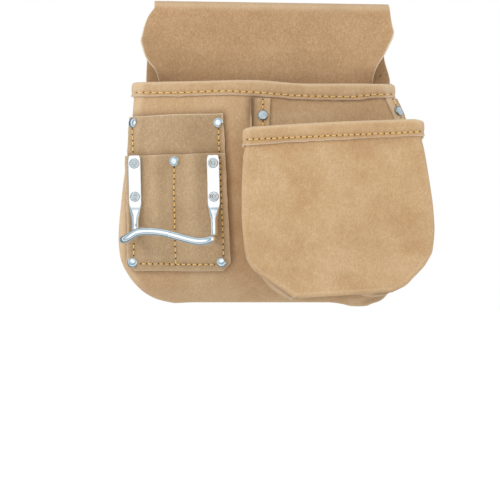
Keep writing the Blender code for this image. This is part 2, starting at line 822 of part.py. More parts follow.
def rivet_places():
    # Name, spot on the nail pocket's wall, axis, how far its stack reaches out, and its layers
    patches = ("marker_patch", "pencil_patch")
    leg_top = pencil_mouth() - LEATHER / 2
    cap = CAP_RADIUS + LAYER_GAP
    places = []

    def on_patch(name, girth, z, layers):
        height = len(layers) * LAYER + LEATHER / 2
        places.append((name, nail_wall(girth, z), nail_normal(girth, z), girth, z, height, layers))

    top_z = -MARKER_DROP - SEAM_INSET - LAYER
    on_patch("patch_rivet_top_left", patch_edges(top_z)[0] + SEAM_INSET, top_z, patches[:1])
    on_patch("patch_rivet_top_right", patch_edges(top_z)[1] - SEAM_INSET, top_z, patches[:1])
    middle_z = pencil_mouth() - cap - LEATHER / 2
    on_patch("patch_rivet_middle", patch_split(middle_z), middle_z, patches)
    bottom_z = -MARKER_DROP - MARKER_HEIGHT + PATCH_CHAMFER
    on_patch("patch_rivet_bottom_left", patch_edges(bottom_z)[0] + SEAM_INSET, bottom_z, patches)
    on_patch("patch_rivet_bottom_right", patch_edges(bottom_z)[1] - SEAM_INSET, bottom_z, patches)

    for side, side_name in ((-1, "left"), (1, "right")):
        for row, share in zip(("upper", "lower"), LEG_RIVETS):
            z = leg_top - LEG_LENGTH * share
            seat, normal = leg_seat(side, z, 0.0)
            stack = 2 * LAYER + LEATHER / 2 + LAYER_GAP
            girth = patch_split(z) + side * LEG_REACH
            name = f"loop_rivet_{side_name}_{row}"
            layers = (*patches, "hammer_loop")
            places.append((name, seat - normal * stack, normal, girth, z, stack + LEG_THICKNESS, layers))

    middle = TAPE_PLACE * NAIL_WIDTH
    tab_z = (tab_top() - TAPE_DROP) / 2
    left_girth = middle + TAPE_WIDTH * TAPE_SEAM["left"](0.0) + TAPE_FLANGE * TAB_RIVET
    right_girth = nail_right_corner(tab_z) + TAPE_WRAP - TAPE_FLANGE * TAB_RIVET
    for name, girth in (("tape_rivet_left", left_girth), ("tape_rivet_right", right_girth)):
        height = LAYER + LEATHER / 2
        places.append((name, nail_wall(girth, tab_z), nail_normal(girth, tab_z), girth, tab_z, height,
                       ("tape_pocket",)))
    return places


def wall_dip(spot, normal, girth, z, radius):
    # How far the wall's inner face stands in under a flat washer of this radius
    dips = [0.0]
    for step in range(8):
        angle = math.pi * step / 4
        near = on_nail_wall(girth + radius * math.cos(angle), z + radius * math.sin(angle), -LEATHER / 2)
        dips.append(-LEATHER / 2 - (near - spot).dot(normal))
    return max(dips)


def build_rivet(name, spot, normal, height, dip, material):
    top = height + LAYER_GAP
    washer = -LEATHER / 2 - LAYER_GAP - dip
    profile = [(CAP_RADIUS * wide, top + CAP_HEIGHT * high) for wide, high in CAP_SHAPE]
    profile += [(SHANK_RADIUS, top), (SHANK_RADIUS, washer), (WASHER_RADIUS, washer),
                (WASHER_RADIUS, washer - WASHER_HEIGHT), (0.0, washer - WASHER_HEIGHT)]
    shape = bmesh.new()
    corners = [shape.verts.new((radius, 0.0, level)) for radius, level in profile]
    for upper, lower in zip(corners, corners[1:]):
        shape.edges.new((upper, lower))
    bmesh.ops.spin(shape, geom=shape.verts[:] + shape.edges[:], axis=(0, 0, 1), cent=(0, 0, 0),
                   angle=2 * math.pi, steps=RIVET_SIDES, use_merge=True)
    bmesh.ops.remove_doubles(shape, verts=shape.verts, dist=0.000001)
    bmesh.ops.recalc_face_normals(shape, faces=shape.faces)
    data = bpy.data.meshes.new(name)
    shape.to_mesh(data)
    shape.free()
    data.shade_smooth()
    data.set_sharp_from_angle(angle=math.radians(45))
    rivet = bpy.data.objects.new(name, data)
    rivet.rotation_euler = normal.to_track_quat("Z", "Y").to_euler()
    rivet.location = spot
    bpy.context.scene.collection.objects.link(rivet)
    data.materials.append(material)
    return rivet


def cut_holes(sheet, spots):
    # Round holes for the rivets' shanks, along their axes
    radius = SHANK_RADIUS + SHANK_CLEARANCE
    shape = bmesh.new()
    for spot, normal in spots:
        turn = normal.to_track_quat("Z", "Y").to_matrix().to_4x4()
        turn.translation = spot + normal * SEAT_DEPTH
        bmesh.ops.create_cone(shape, cap_ends=True, segments=RIVET_SIDES, radius1=radius, radius2=radius,
                              depth=2 * HOLE_REACH, matrix=turn)
    data = bpy.data.meshes.new(sheet.name + "_holes")
    shape.to_mesh(data)
    shape.free()
    cutter = bpy.data.objects.new(sheet.name + "_holes", data)
    cutter.hide_render = True
    cutter.display_type = "WIRE"
    bpy.context.scene.collection.objects.link(cutter)
    holes = sheet.modifiers.new("rivet_holes", "BOOLEAN")
    holes.operation = "DIFFERENCE"
    holes.solver = "EXACT"
    holes.object = cutter


def build_rivets(sheets, material):
    holes = {name: [] for name in sheets}
    for name, spot, normal, girth, z, height, layers in rivet_places():
        dip = wall_dip(spot, normal, girth, z, WASHER_RADIUS * WASHER_FREEDOM)
        build_rivet(name, spot, normal, height, dip, material)
        for layer in ("nail_pocket", *layers):
            holes[layer].append((spot, normal))
    for name, spots in holes.items():
        cut_holes(sheets[name], spots)


def main():
    for leftover in list(bpy.data.objects):
        bpy.data.objects.remove(leftover)
    suede = make_material("suede", (0.54, 0.38, 0.23), 0.95)
    chrome = make_material("bright_steel", (0.80, 0.80, 0.80), 0.12, 1.0)
    nickel = make_material("nickel_rivets", (0.72, 0.72, 0.70), 0.22, 1.0)
    build_back_panel(suede)
    nail = build_nail_pocket(suede)
    tape = build_tape_pocket(suede)
    marker, pencil = build_patches(suede)
    loop = build_hammer_loop(chrome)
    sheets = {sheet.name: sheet for sheet in (nail, tape, marker, pencil, loop)}
    build_rivets(sheets, nickel)


main()
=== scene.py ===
import math
import bpy
import bmesh
import numpy as np
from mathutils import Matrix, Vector, kdtree
from mathutils.bvhtree import BVHTree


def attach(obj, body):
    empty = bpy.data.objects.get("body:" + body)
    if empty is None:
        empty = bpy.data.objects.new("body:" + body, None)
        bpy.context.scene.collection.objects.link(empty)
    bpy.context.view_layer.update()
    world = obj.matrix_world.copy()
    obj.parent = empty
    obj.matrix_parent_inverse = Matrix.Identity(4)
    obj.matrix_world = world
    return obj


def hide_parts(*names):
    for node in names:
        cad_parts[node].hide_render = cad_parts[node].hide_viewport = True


# Carpenter nail apron in split suede. Metres, +Z up, the front faces -Y, origin in the belt tunnel.

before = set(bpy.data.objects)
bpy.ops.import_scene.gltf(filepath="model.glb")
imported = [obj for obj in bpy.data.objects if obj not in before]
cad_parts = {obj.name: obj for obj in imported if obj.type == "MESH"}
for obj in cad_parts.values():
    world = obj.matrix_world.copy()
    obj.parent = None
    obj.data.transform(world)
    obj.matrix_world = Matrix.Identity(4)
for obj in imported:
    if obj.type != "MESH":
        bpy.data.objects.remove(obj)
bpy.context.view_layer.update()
print("frame loaded:", len(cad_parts), "nodes")

scene = bpy.context.scene


# Sizes shared by several pieces

leather = {"thickness": 0.0018, "gap": 0.0004, "foldRadius": 0.0018, "hemRoll": 0.0013, "wallLeave": 0.15,
           "edgeRound": 0.0007}
layer = leather["thickness"] + leather["gap"]
beltDepth = leather["thickness"] + 0.0101 / 2  # rear face to the middle of the tunnel
seatDepth = 1.5 * leather["thickness"] + leather["gap"]
mouthDrop = 0.0287  # belt line to the nail pocket's mouth
meshStep = 0.0012  # size of the mesh's cells on the panels
calmZone = 0.12  # share of a panel by its mouth that lies still


# Small number tools

def mix(start, end, share):
    return start + (end - start) * share


def ease(value):
    value = np.clip(value, 0.0, 1.0)
    return value * value * (3 - 2 * value)


def arch(value, start, end):
    inside = np.clip((value - start) / (end - start), 0.0, 1.0)
    return np.sin(np.pi * inside) ** 2


def hump(value, width):
    return np.exp(-(value / width) ** 2)


def column(values):
    return np.asarray(values)[:, None]


def smoothCurve(keys, values):
    # cubic through the rows that never swings past them
    keys, values = np.array(keys, float), np.array(values, float)
    spans = np.diff(keys)
    slopes = np.diff(values) / spans
    tangents = np.zeros(len(keys))
    tangents[0], tangents[-1] = slopes[0], slopes[-1]
    for k in range(1, len(spans)):
        if slopes[k - 1] * slopes[k] > 0:
            tangents[k] = 2 * slopes[k - 1] * slopes[k] / (slopes[k - 1] + slopes[k])

    def read(at):
        at = np.clip(at, keys[0], keys[-1])
        k = np.clip(np.searchsorted(keys, at, side="right") - 1, 0, len(spans) - 1)
        t = (at - keys[k]) / spans[k]
        curve = values[k] + (values[k + 1] - values[k]) * (3 * t ** 2 - 2 * t ** 3)
        curve = curve + spans[k] * tangents[k] * (t - 2 * t ** 2 + t ** 3)
        return curve + spans[k] * tangents[k + 1] * (t ** 3 - t ** 2)

    return read


def readTable(columns, rows):
    # rows go from a piece's top down; sides and depths are shares of its own sizes
    keys = [row[0] for row in rows]
    names = columns.split()
    return {name: smoothCurve(keys, [row[k] for row in rows]) for k, name in enumerate(names)}


def softNoise(x, y, seed):
    # smooth value noise on a plane, about -1 to 1, one bump per unit
    x, y = np.broadcast_arrays(np.asarray(x, float), np.asarray(y, float))
    cellX, cellY = np.floor(x).astype(int), np.floor(y).astype(int)
    u, v = ease(x - cellX), ease(y - cellY)

    def corner(dx, dy):
        mixed = (cellX + dx) * 374761393 + (cellY + dy) * 668265263 + seed * 974634777
        mixed = (mixed ^ (mixed >> 13)) * 1274126177
        return ((mixed ^ (mixed >> 16)) & 65535) / 32767.5 - 1

    top = mix(corner(0, 0), corner(1, 0), u)
    bottom = mix(corner(0, 1), corner(1, 1), u)
    return mix(top, bottom, v)


def place(x, depth, z):
    x, depth, z = np.broadcast_arrays(x, depth, z)
    return np.stack([x, beltDepth - depth, z], -1)


def unit(vectors):
    return vectors / np.maximum(np.linalg.norm(vectors, axis=-1, keepdims=True), 1e-12)


# The nail pocket's wall, which carries everything on the front

nail = {"height": 0.182, "width": 0.236, "deep": 0.040, "bulge": 0.004, "corner": 0.008, "flange": 0.010,
        "hem": 0.0123, "turned": 0.66, "footFade": 65, "slump": 0.0011}
nail.update(readTable("down left right depth swell turn", [
    (0.000, -0.460, 0.428, 0.93, 0.90, 0),
    (0.068, -0.464, 0.432, 0.94, 1.00, 0),
    (0.117, -0.467, 0.4480, 0.95, 1.00, 0),
    (0.155, -0.469, 0.4605, 0.96, 1.00, 0),
    (0.200, -0.473, 0.468, 0.97, 1.00, 0),
    (0.326, -0.487, 0.468, 0.98, 1.00, 0),
    (0.529, -0.507, 0.470, 1.00, 1.00, 0),
    (0.705, -0.517, 0.474, 1.00, 0.90, 0),
    (0.776, -0.512, 0.470, 0.97, 0.80, 0),
    (0.820, -0.502, 0.462, 0.92, 0.65, 6),
    (0.864, -0.484, 0.445, 0.85, 0.50, 18),
    (0.910, -0.458, 0.428, 0.74, 0.35, 30),
    (0.947, -0.430, 0.418, 0.61, 0.20, 40),
    (0.978, -0.390, 0.398, 0.47, 0.10, 50),
    (1.000, -0.330, 0.352, 0.33, 0.00, 65),
]))
nailDents = [  # x, z, half width, half height, depth forward
    (0.000, -0.120, 0.022, 0.050, -0.0008),
    (-0.030, -0.185, 0.045, 0.012, 0.0009),
    (0.055, -0.200, 0.050, 0.008, -0.0008),
    (-0.095, -0.185, 0.014, 0.020, 0.0010),
    (-0.020, -0.200, 0.030, 0.008, -0.0006),
    (0.010, -0.050, 0.030, 0.006, -0.0004),
]
nailRipples = [(0.0007, 0.045, 0.038, 3, 11), (0.00025, 0.014, 0.017, 0, 12)]  # rise, lengths, shift, seed


def nailDown(z):
    return (-z - mouthDrop) / nail["height"]


def nailEdges(z):
    down = nailDown(z)
    return nail["width"] * nail["left"](down), nail["width"] * nail["right"](down)


def relief(x, z, ripples, dents):
    # rise and fall of a panel: seeded ripples and a few chosen dents
    height = 0.0
    for rise, wide, high, shift, seed in ripples:
        height = height + rise * softNoise(x / wide + shift, z / high, seed)
    for dentX, dentZ, halfWide, halfHigh, forward in dents:
        height = height + forward * hump(x - dentX, halfWide) * hump(z - dentZ, halfHigh)
    return height


def nailRelief(x, z):
    return relief(x, z, nailRipples, nailDents) * ease(nailDown(z) / calmZone)


def nailFront(x, z):
    down = nailDown(z)
    left, right = nailEdges(z)
    across = np.clip((x - left - nail["corner"]) / (right - left - 2 * nail["corner"]), 0.0, 1.0)
    bow = 1 - (2 * across - 1) ** 2
    return nail["deep"] * nail["depth"](down) + nail["bulge"] * nail["swell"](down) * bow + nailRelief(x, z)


def nailWall(girth, z):
    # girth is x on the front, then goes on round the corners and back along the sides
    girth, z = np.broadcast_arrays(np.asarray(girth, float), np.asarray(z, float))
    left, right = nailEdges(z)
    start = np.clip(girth, left + nail["corner"], right - nail["corner"])
    depth = nailFront(start, z)
    past = girth - start
    side = np.sign(past)
    turned = np.minimum(np.abs(past) / nail["corner"], math.pi / 2)
    straight = np.abs(past) - turned * nail["corner"]
    x = start + side * nail["corner"] * np.sin(turned)
    return place(x, depth - nail["corner"] * (1 - np.cos(turned)) - straight, z)


def nailNormal(girth, z):
    probe = 0.0004
    across = nailWall(girth + probe, z) - nailWall(girth - probe, z)
    upward = nailWall(girth, z + probe) - nailWall(girth, z - probe)
    return unit(np.cross(across, upward))


def onNailWall(girth, z, height):
    return nailWall(girth, z) + nailNormal(girth, z) * np.asarray(height)[..., None]


def nailRightCorner(z):
    return nailEdges(z)[1] + nail["corner"] * (math.pi / 2 - 1)


def tabTop():
    return -mouthDrop - nail["hem"] - tape["tabGap"]


# Turning point grids into sheets of leather

def evenDowns(width, height, left, right, step):
    # rows at even steps along the outline, so that a turned-in foot gets its share of them
    fine = np.linspace(0.0, 1.0, 2001)
    run = np.hypot(width * np.gradient(left(fine)), height * np.gradient(fine))
    arc = np.concatenate([[0.0], np.cumsum((run[1:] + run[:-1]) / 2)])
    return np.interp(np.linspace(0.0, arc[-1], int(arc[-1] / step) + 1), arc, fine)


def gridFaces(rows, columns, offset):
    index = np.arange(rows * columns).reshape(rows, columns) + offset
    return np.stack([index[:-1, :-1], index[1:, :-1], index[1:, 1:], index[:-1, 1:]], -1).reshape(-1, 4)


def weldGrids(name, grids):
    points, faces, count = [], [], 0
    for grid in grids:
        points.append(grid.reshape(-1, 3))
        faces.append(gridFaces(grid.shape[0], grid.shape[1], count))
        count += grid.shape[0] * grid.shape[1]
    mesh = bpy.data.meshes.new(name)
    mesh.from_pydata(np.concatenate(points).tolist(), [], np.concatenate(faces).tolist())
    shape = bmesh.new()
    shape.from_mesh(mesh)
    bmesh.ops.remove_doubles(shape, verts=shape.verts, dist=0.00002)
    bmesh.ops.recalc_face_normals(shape, faces=shape.faces)
    shape.to_mesh(mesh)
    shape.free()
    return mesh


def addPiece(name, mesh, *coats):
    piece = bpy.data.objects.new(name, mesh)
    scene.collection.objects.link(piece)
    for coat in coats:
        mesh.materials.append(coat)
    return piece


def addSolid(name, grids, coat, sharpAngle=None):
    solid = addPiece(name, weldGrids(name, grids), coat)
    solid.data.shade_smooth()
    if sharpAngle:
        solid.data.set_sharp_from_angle(angle=math.radians(sharpAngle))
    return solid


def readAll(items, key, width, kind=float):
    values = np.empty(len(items) * width, kind)
    items.foreach_get(key, values)
    return values.reshape(-1, width)


def makeSheet(name, grids, facing, hide):
    # a skin with the leather's thickness, a slightly rounded cut edge and its own edge material
    piece = addPiece(name, weldGrids(name + "_skin", grids), materials[hide], materials["edge"])
    if readAll(piece.data.polygons, "normal", 3).mean(0).dot(facing) < 0:
        piece.data.flip_normals()
    wall = piece.modifiers.new("leather", "SOLIDIFY")
    wall.thickness = leather["thickness"]
    wall.offset = 0.0
    wall.use_even_offset = False
    wall.material_offset_rim = 1
    edge = piece.modifiers.new("cutEdge", "BEVEL")
    edge.width = leather["edgeRound"]
    edge.segments = 2
    edge.limit_method = "ANGLE"
    edge.angle_limit = math.radians(60)
    edge.material = 1
    finished = piece.evaluated_get(bpy.context.evaluated_depsgraph_get())
    piece.data = bpy.data.meshes.new_from_object(finished)
    piece.modifiers.clear()
    piece.data.name = name
    piece.data.shade_smooth()
    return piece


def addMask(mesh, name, values):
    attribute = mesh.attributes.get(name) or mesh.attributes.new(name, "FLOAT", "POINT")
    attribute.data.foreach_set("value", np.asarray(values, np.float32))


def markFolds(piece, spread):
    # ridge and hollow masks from how far each point stands off the mean of its neighbours; they steer the
    # painted highlight on ridges and the painted shade in hollows
    mesh = piece.data
    points = readAll(mesh.vertices, "co", 3)
    normals = readAll(mesh.vertices, "normal", 3)
    a, b = readAll(mesh.edges, "vertices", 2, int).T
    degree = np.bincount(np.concatenate([a, b]), minlength=len(points))

    def neighbours(values):
        total = np.zeros_like(values)
        np.add.at(total, a, values[b])
        np.add.at(total, b, values[a])
        return total / degree.reshape((-1,) + (1,) * (values.ndim - 1))

    bend = ((points - neighbours(points)) * normals).sum(1) / meshStep
    for _ in range(spread):
        bend = bend * 0.4 + neighbours(bend) * 0.6
    addMask(mesh, "ridge", np.clip(bend * 9, 0, 1))
    addMask(mesh, "hollow", np.clip(-bend * 9, 0, 1))


def markNear(piece, name, spots, reach, strength):
    # mask that is full at the given spots and fades out over the reach, over what was marked before
    tree = kdtree.KDTree(len(spots))
    for k, spot in enumerate(spots):
        tree.insert(Vector(spot), k)
    tree.balance()
    near = np.array([tree.find(point)[2] for point in readAll(piece.data.vertices, "co", 3).tolist()])
    values = strength * np.exp(-(near / reach) ** 2)
    if name in piece.data.attributes:
        values = np.maximum(values, readAll(piece.data.attributes[name].data, "value", 1, np.float32)[:, 0])
    addMask(piece.data, name, values)


# A pocket: front, then a strip that turns the corner, runs back as a wall and turns in

strip = {"corner": 8, "wall": 26, "fold": 4, "flange": 8}


def stripProfile(edge, outer, startAngle, corner, seam, flange, slump, bulge):
    forward = np.array((0.0, -1.0, 0.0))
    turn = column(startAngle)
    center = edge - outer * corner * np.sin(turn) - forward * corner * np.cos(turn)
    points = [edge]
    for k in range(1, strip["corner"] + 1):
        angle = mix(turn, math.pi / 2, k / strip["corner"])
        points.append(center + outer * corner * np.sin(angle) + forward * corner * np.cos(angle))
    silhouette = points[-1]
    foot = seam(0.0, leather["foldRadius"])
    straight = np.linalg.norm(silhouette - foot, axis=1)
    leave = seam(0.0, leather["foldRadius"] + leather["wallLeave"] * straight)
    along = np.arange(len(edge)) * meshStep
    for k in range(1, strip["wall"]):
        t = k / strip["wall"]
        sag = slump * math.sin(math.pi * t) * (softNoise(along / 0.022, t * 2.0, 31) - 0.3)
        sag = sag + bulge * (math.sin(math.pi * t ** 0.8) ** 1.5 - 0.4 * hump(t - 0.05, 0.05))
        points.append(mix(mix(silhouette, leave, t), mix(leave, foot, t), t) + outer * column(sag))
    points.append(foot)
    for k in range(1, strip["fold"] + 1):
        angle = math.pi / 2 * k / strip["fold"]
        fold = leather["foldRadius"]
        points.append(seam(fold * (1 - math.cos(angle)), fold * (1 - math.sin(angle))))
    for k in range(1, strip["flange"] + 1):
        points.append(seam(mix(leather["foldRadius"], flange, k / strip["flange"]), 0.0))
    return np.stack(points, 1)


def allRound(left, foot, right):
    # down the left side, along the foot and up the right side
    return np.concatenate([left, foot, right[::-1]])


def stripOuter(turns, footCount, spread):
    # direction out of the pocket in the front view, eased round the two lower corners
    angles = allRound(180 + turns, np.full(footCount, 270.0), 360 - turns)
    padded = np.concatenate([np.full(spread, angles[0]), angles, np.full(spread, angles[-1])])
    eased = np.convolve(padded, np.ones(2 * spread + 1) / (2 * spread + 1), "valid")
    eased = np.radians(eased)
    return np.stack([np.cos(eased), np.zeros(len(eased)), np.sin(eased)], -1)


def foldHem(paths, lengths, cover, count):
    # rolls a mouth's edge over outward: paths run down the wall, one for each column
    mouth = paths[:, 0]
    along = np.gradient(mouth, axis=0)
    out = unit(np.cross(along, (0.0, 0.0, 1.0)))
    roll, up = leather["hemRoll"], np.array((0.0, 0.0, 1.0))
    rows = [mouth]
    for angle in np.radians((30, 60, 90, 120, 150, 180)):
        rows.append(mouth + out * roll * (1 - math.cos(angle)) + up * roll * math.sin(angle))
    lengths = lengths + 0.0004 * softNoise(np.cumsum(np.linalg.norm(along, axis=1)) / 0.007, 0.5, 61)
    steps = np.linalg.norm(np.diff(paths, axis=1), axis=2)
    arcs = np.concatenate([np.zeros((len(paths), 1)), np.cumsum(steps, axis=1)], 1)
    for k in range(1, count + 1):
        t = k / count
        spots = [[np.interp(lengths[c] * t, arcs[c], paths[c, :, axis]) for axis in range(3)]
                 for c in range(len(paths))]
        rows.append(np.array(spots) + out * cover(t))
    return np.stack(rows)


def hemPaths(front, strips, turned, rows):
    steps = strip["corner"] + int(strip["wall"] * turned)
    left = [strips[:rows, k] for k in range(steps, 0, -1)]
    middle = [front[:rows, k] for k in range(front.shape[1])]
    right = [strips[::-1][:rows, k] for k in range(1, steps + 1)]
    return np.stack(left + middle + right)


hemCover = smoothCurve(  # share of the hem's length and how far it stands off
    (0.0, 0.15, 0.38, 0.60, 0.74, 0.86, 1.0),
    (0.0026, 0.00275, 0.0027, 0.00235, 0.00205, 0.0023, 0.0028))


# Back panel and flap

panel = {"width": 0.206, "rise": 0.0357, "lowered": 0.0016, "lip": 0.0021, "foldTilt": 0.003,
         "tunnel": 0.0101, "flapLength": 0.094, "flapGap": 0.004, "flapCalm": 0.72, "earReach": 0.0175,
         "curl": 0.009, "curlZone": 0.28, "waver": 0.0003}
panel.update(readTable("down left right", [
    (0.000, -0.462, 0.482),
    (0.060, -0.474, 0.485),
    (0.156, -0.490, 0.474),
    (0.250, -0.495, 0.498),
    (0.390, -0.498, 0.498),
    (0.630, -0.505, 0.503),
    (0.840, -0.503, 0.500),
    (0.905, -0.484, 0.479),
    (0.953, -0.446, 0.441),
    (0.983, -0.396, 0.391),
    (1.000, -0.340, 0.340),
]))
flap = readTable("down leftEar rightEar stand curl", [
    (0.000, 0.30, 0.73, 1.00, 0.00),
    (0.065, 0.57, 0.77, 1.02, 0.15),
    (0.150, 0.76, 0.84, 1.05, 0.60),
    (0.186, 0.81, 0.88, 1.06, 0.75),
    (0.244, 0.88, 0.82, 1.07, 0.95),
    (0.279, 0.92, 0.745, 1.08, 1.00),
    (0.293, 0.91, 0.71, 1.08, 1.00),
    (0.350, 0.83, 0.57, 1.10, 1.00),
    (0.428, 0.68, 0.35, 1.08, 0.92),
    (0.482, 0.49, 0.16, 1.04, 0.80),
    (0.535, 0.26, 0.02, 1.00, 0.60),
    (0.606, 0.12, -0.08, 0.92, 0.33),
    (0.690, 0.06, -0.12, 0.78, 0.10),
    (0.770, 0.03, -0.16, 0.55, 0.00),
    (0.850, 0.00, -0.20, 0.14, 0.00),
    (0.920, 0.00, -0.22, 0.00, 0.00),
    (1.000, 0.00, -0.22, 0.00, 0.00),
])
flapCreases = [  # x, z, half width, half height, depth forward
    (-0.030, 0.004, 0.040, 0.020, 0.0012),
    (0.052, -0.004, 0.030, 0.020, -0.0014),
    (0.006, -0.018, 0.050, 0.010, 0.0008),
    (0.078, 0.012, 0.014, 0.016, 0.0012),
]
flapRipples = [(0.0006, 0.034, 0.026, 0, 21), (0.0002, 0.011, 0.012, 0, 22)]


def panelHeight():
    return panel["rise"] + mouthDrop + nail["height"] - panel["lip"] + leather["thickness"] / 2


def panelEdges(z):
    down = (panel["rise"] - z) / panelHeight()
    return panel["width"] * panel["left"](down), panel["width"] * panel["right"](down)


def flapEdges(down):
    tucked = panel["width"] / 2 - nail["flange"] - panel["flapGap"]
    leftEar, rightEar = (panel["earReach"] * flap[ear](down) for ear in ("leftEar", "rightEar"))
    return -tucked - leftEar, tucked + rightEar


def flapRelief(x, z, down):
    calm = ease(down / calmZone) * ease((panel["flapCalm"] - down) / calmZone)
    return relief(x, z, flapRipples, flapCreases) * calm


def buildBackPanel():
    columns = np.linspace(0, 1, 168)
    height = panelHeight()
    downs = evenDowns(panel["width"], height, panel["left"], panel["right"], 0.0014)[::-1]
    foldRadius = (panel["tunnel"] + leather["thickness"]) / 2
    half = leather["thickness"] / 2

    def fall(z):
        return panel["foldTilt"] * columns * ease(z / panel["rise"])

    rows = []
    for down in downs:
        z = panel["rise"] - height * down
        left, right = panelEdges(z)
        x = mix(left, right, columns)
        waver = panel["waver"] * softNoise(x / 0.03, z / 0.03, 5) * ease(down / 0.1) * ease((1 - down) / 0.1)
        rows.append(place(x, half + waver * 0.3, z - fall(z)))
    rearEdges, frontEdges = panelEdges(panel["rise"]), flapEdges(0.0)
    for k in range(1, 14):
        angle = math.pi * k / 14
        left, right = (mix(rearEdges[side], frontEdges[side], k / 14) for side in (0, 1))
        z = panel["rise"] + foldRadius * math.sin(angle)
        rows.append(place(mix(left, right, columns), half + foldRadius * (1 - math.cos(angle)), z - fall(z)))
    for down in np.linspace(0, 1, 72):
        z = panel["rise"] - panel["flapLength"] * down - panel["lowered"] * ease(down / 0.25)
        left, right = flapEdges(down)
        x = mix(left, right, columns)
        stand = 1.5 * leather["thickness"] + max(leather["gap"], panel["tunnel"] * flap["stand"](down))
        lift = np.maximum(0.0, (np.abs(2 * columns - 1) - 1 + panel["curlZone"]) / panel["curlZone"]) ** 2
        depth = stand + panel["curl"] * flap["curl"](down) * lift + flapRelief(x, z, down)
        rows.append(place(x, depth, z - fall(z)))
    return makeSheet("back_panel_suede", [np.stack(rows)], (0, 1, 0), "flap")


# Nail pocket

nailHemEdge = smoothCurve(  # x along the hem and how much longer it hangs
    (-0.115, -0.105, -0.080, -0.040, -0.010, 0.040, 0.065, 0.090, 0.112),
    (-0.0035, -0.0032, -0.0023, -0.0030, -0.0015, -0.0013, -0.0006, -0.0028, -0.0036))
nailMouthWave = smoothCurve(  # x along the mouth and how far it rises
    (-0.115, -0.100, -0.060, -0.016, 0.034, 0.070, 0.110),
    (-0.0021, -0.0017, -0.0011, -0.0003, -0.0033, -0.0031, -0.0032))

nailFootWave = smoothCurve(  # x along the foot and how far it rides up
    (-0.110, -0.085, -0.060, 0.050, 0.062, 0.070, 0.078, 0.088, 0.110),
    (0.0008, 0.0014, 0.0026, 0.0026, 0.0012, -0.0006, -0.0008, 0.0002, 0.0000))


def raiseFoot(points):
    points[..., 2] += nailFootWave(points[..., 0]) * ease((-points[..., 2] - 0.186) / 0.020)


def nailFrontPoint(x, z):
    lift = nailMouthWave(x) * (1 - ease(nailDown(z) / calmZone))
    points = place(x, nailFront(x, z), z)
    points[..., 2] += lift
    return points


def buildNailPocket():
    downs = evenDowns(nail["width"], nail["height"], nail["left"], nail["right"], meshStep)
    turns = nail["turn"](downs)
    slope = math.pi / 4
    startAngles = slope * ease(turns / nail["footFade"])
    z = -mouthDrop - nail["height"] * downs
    edges = nailEdges(z)
    inset = nail["corner"] * (1 - np.sin(startAngles))
    sideX = [edges[k] + (1, -1)[k] * inset * np.cos(np.radians(turns)) for k in (0, 1)]
    edgeZ = z + inset * np.sin(np.radians(turns))
    count = int((sideX[1] - sideX[0])[:20].mean() / meshStep)
    shares = np.linspace(0, 1, count + 1)
    front = nailFrontPoint(mix(column(sideX[0]), column(sideX[1]), shares), column(edgeZ))

    footEdge = front[-1, 1:-1]
    edge = allRound(front[:, 0], footEdge, front[:, -1])
    outer = stripOuter(turns, len(footEdge), 9)
    angles = allRound(startAngles, np.full(len(footEdge), slope), startAngles)
    seamZ = -mouthDrop - (nail["height"] - panel["lip"]) * downs
    rear = panelEdges(seamZ)
    half = leather["thickness"] / 2
    footX = mix(rear[0][-1] + half, rear[1][-1] - half, shares[1:-1])
    seamX = allRound(rear[0] + half, footX, rear[1] - half)
    seamZ = allRound(seamZ, np.full(len(footEdge), seamZ[-1]), seamZ)

    def seam(inward, height):
        return place(seamX - outer[:, 0] * inward, seatDepth + height, seamZ - outer[:, 2] * inward)

    strips = stripProfile(edge, outer, angles, nail["corner"], seam, nail["flange"], nail["slump"], 0.0)
    raiseFoot(front)
    raiseFoot(strips)
    paths = hemPaths(front, strips, nail["turned"], 24)
    lengths = nail["hem"] + nailHemEdge(paths[:, 0, 0])
    hem = foldHem(paths, lengths, hemCover, 14)
    return makeSheet("nail_pocket_suede", [front, strips, hem], (0, -1, 0), "front")


# Tape pocket

tape = {"middle": 0.2356 * nail["width"], "drop": 0.0669, "tilt": 0.0062, "height": 0.1340, "width": 0.152,
        "deep": 0.042, "corner": 0.0025, "flange": 0.015, "turned": 0.33, "slump": 0.0009, "footTilt": 0.0048,
        "pouch": 0.0056, "round": 0.0062, "roundDrop": 0.0013, "dipEnd": 0.86, "slopeStart": 0.50,
        "mouthHang": 0.0024, "tabGap": 0.0008, "tabFoot": 0.0641, "tabMiddle": 0.6, "wrap": 0.0040,
        "rightSeam": 0.0102, "leftDrop": 0.0032}
tape.update(readTable("down left right depth turn", [
    (0.000, -0.478, 0.425, 1.00, 0),
    (0.100, -0.482, 0.430, 1.00, 0),
    (0.160, -0.492, 0.442, 1.01, 0),
    (0.380, -0.501, 0.475, 1.00, 0),
    (0.520, -0.501, 0.492, 0.97, 0),
    (0.640, -0.493, 0.499, 0.93, 0),
    (0.760, -0.478, 0.490, 0.86, 10),
    (0.810, -0.457, 0.470, 0.84, 22),
    (0.850, -0.426, 0.448, 0.82, 35),
    (0.880, -0.386, 0.424, 0.81, 45),
    (0.920, -0.332, 0.390, 0.79, 50),
    (0.960, -0.279, 0.356, 0.77, 52),
    (1.000, -0.234, 0.288, 0.74, 65),
]))
tapeSeam = readTable("down left right turn flange", [
    (0.000, -0.453, 1.00, 0, 1.00),
    (0.120, -0.458, 1.00, 0, 1.00),
    (0.350, -0.465, 1.00, 0, 0.90),
    (0.600, -0.463, 1.00, 0, 0.80),
    (0.780, -0.440, 0.80, 10, 0.60),
    (0.850, -0.410, 0.60, 25, 0.50),
    (0.900, -0.370, 0.35, 38, 0.50),
    (0.950, -0.315, 0.00, 48, 0.50),
    (1.000, -0.240, -0.60, 65, 0.50),
])
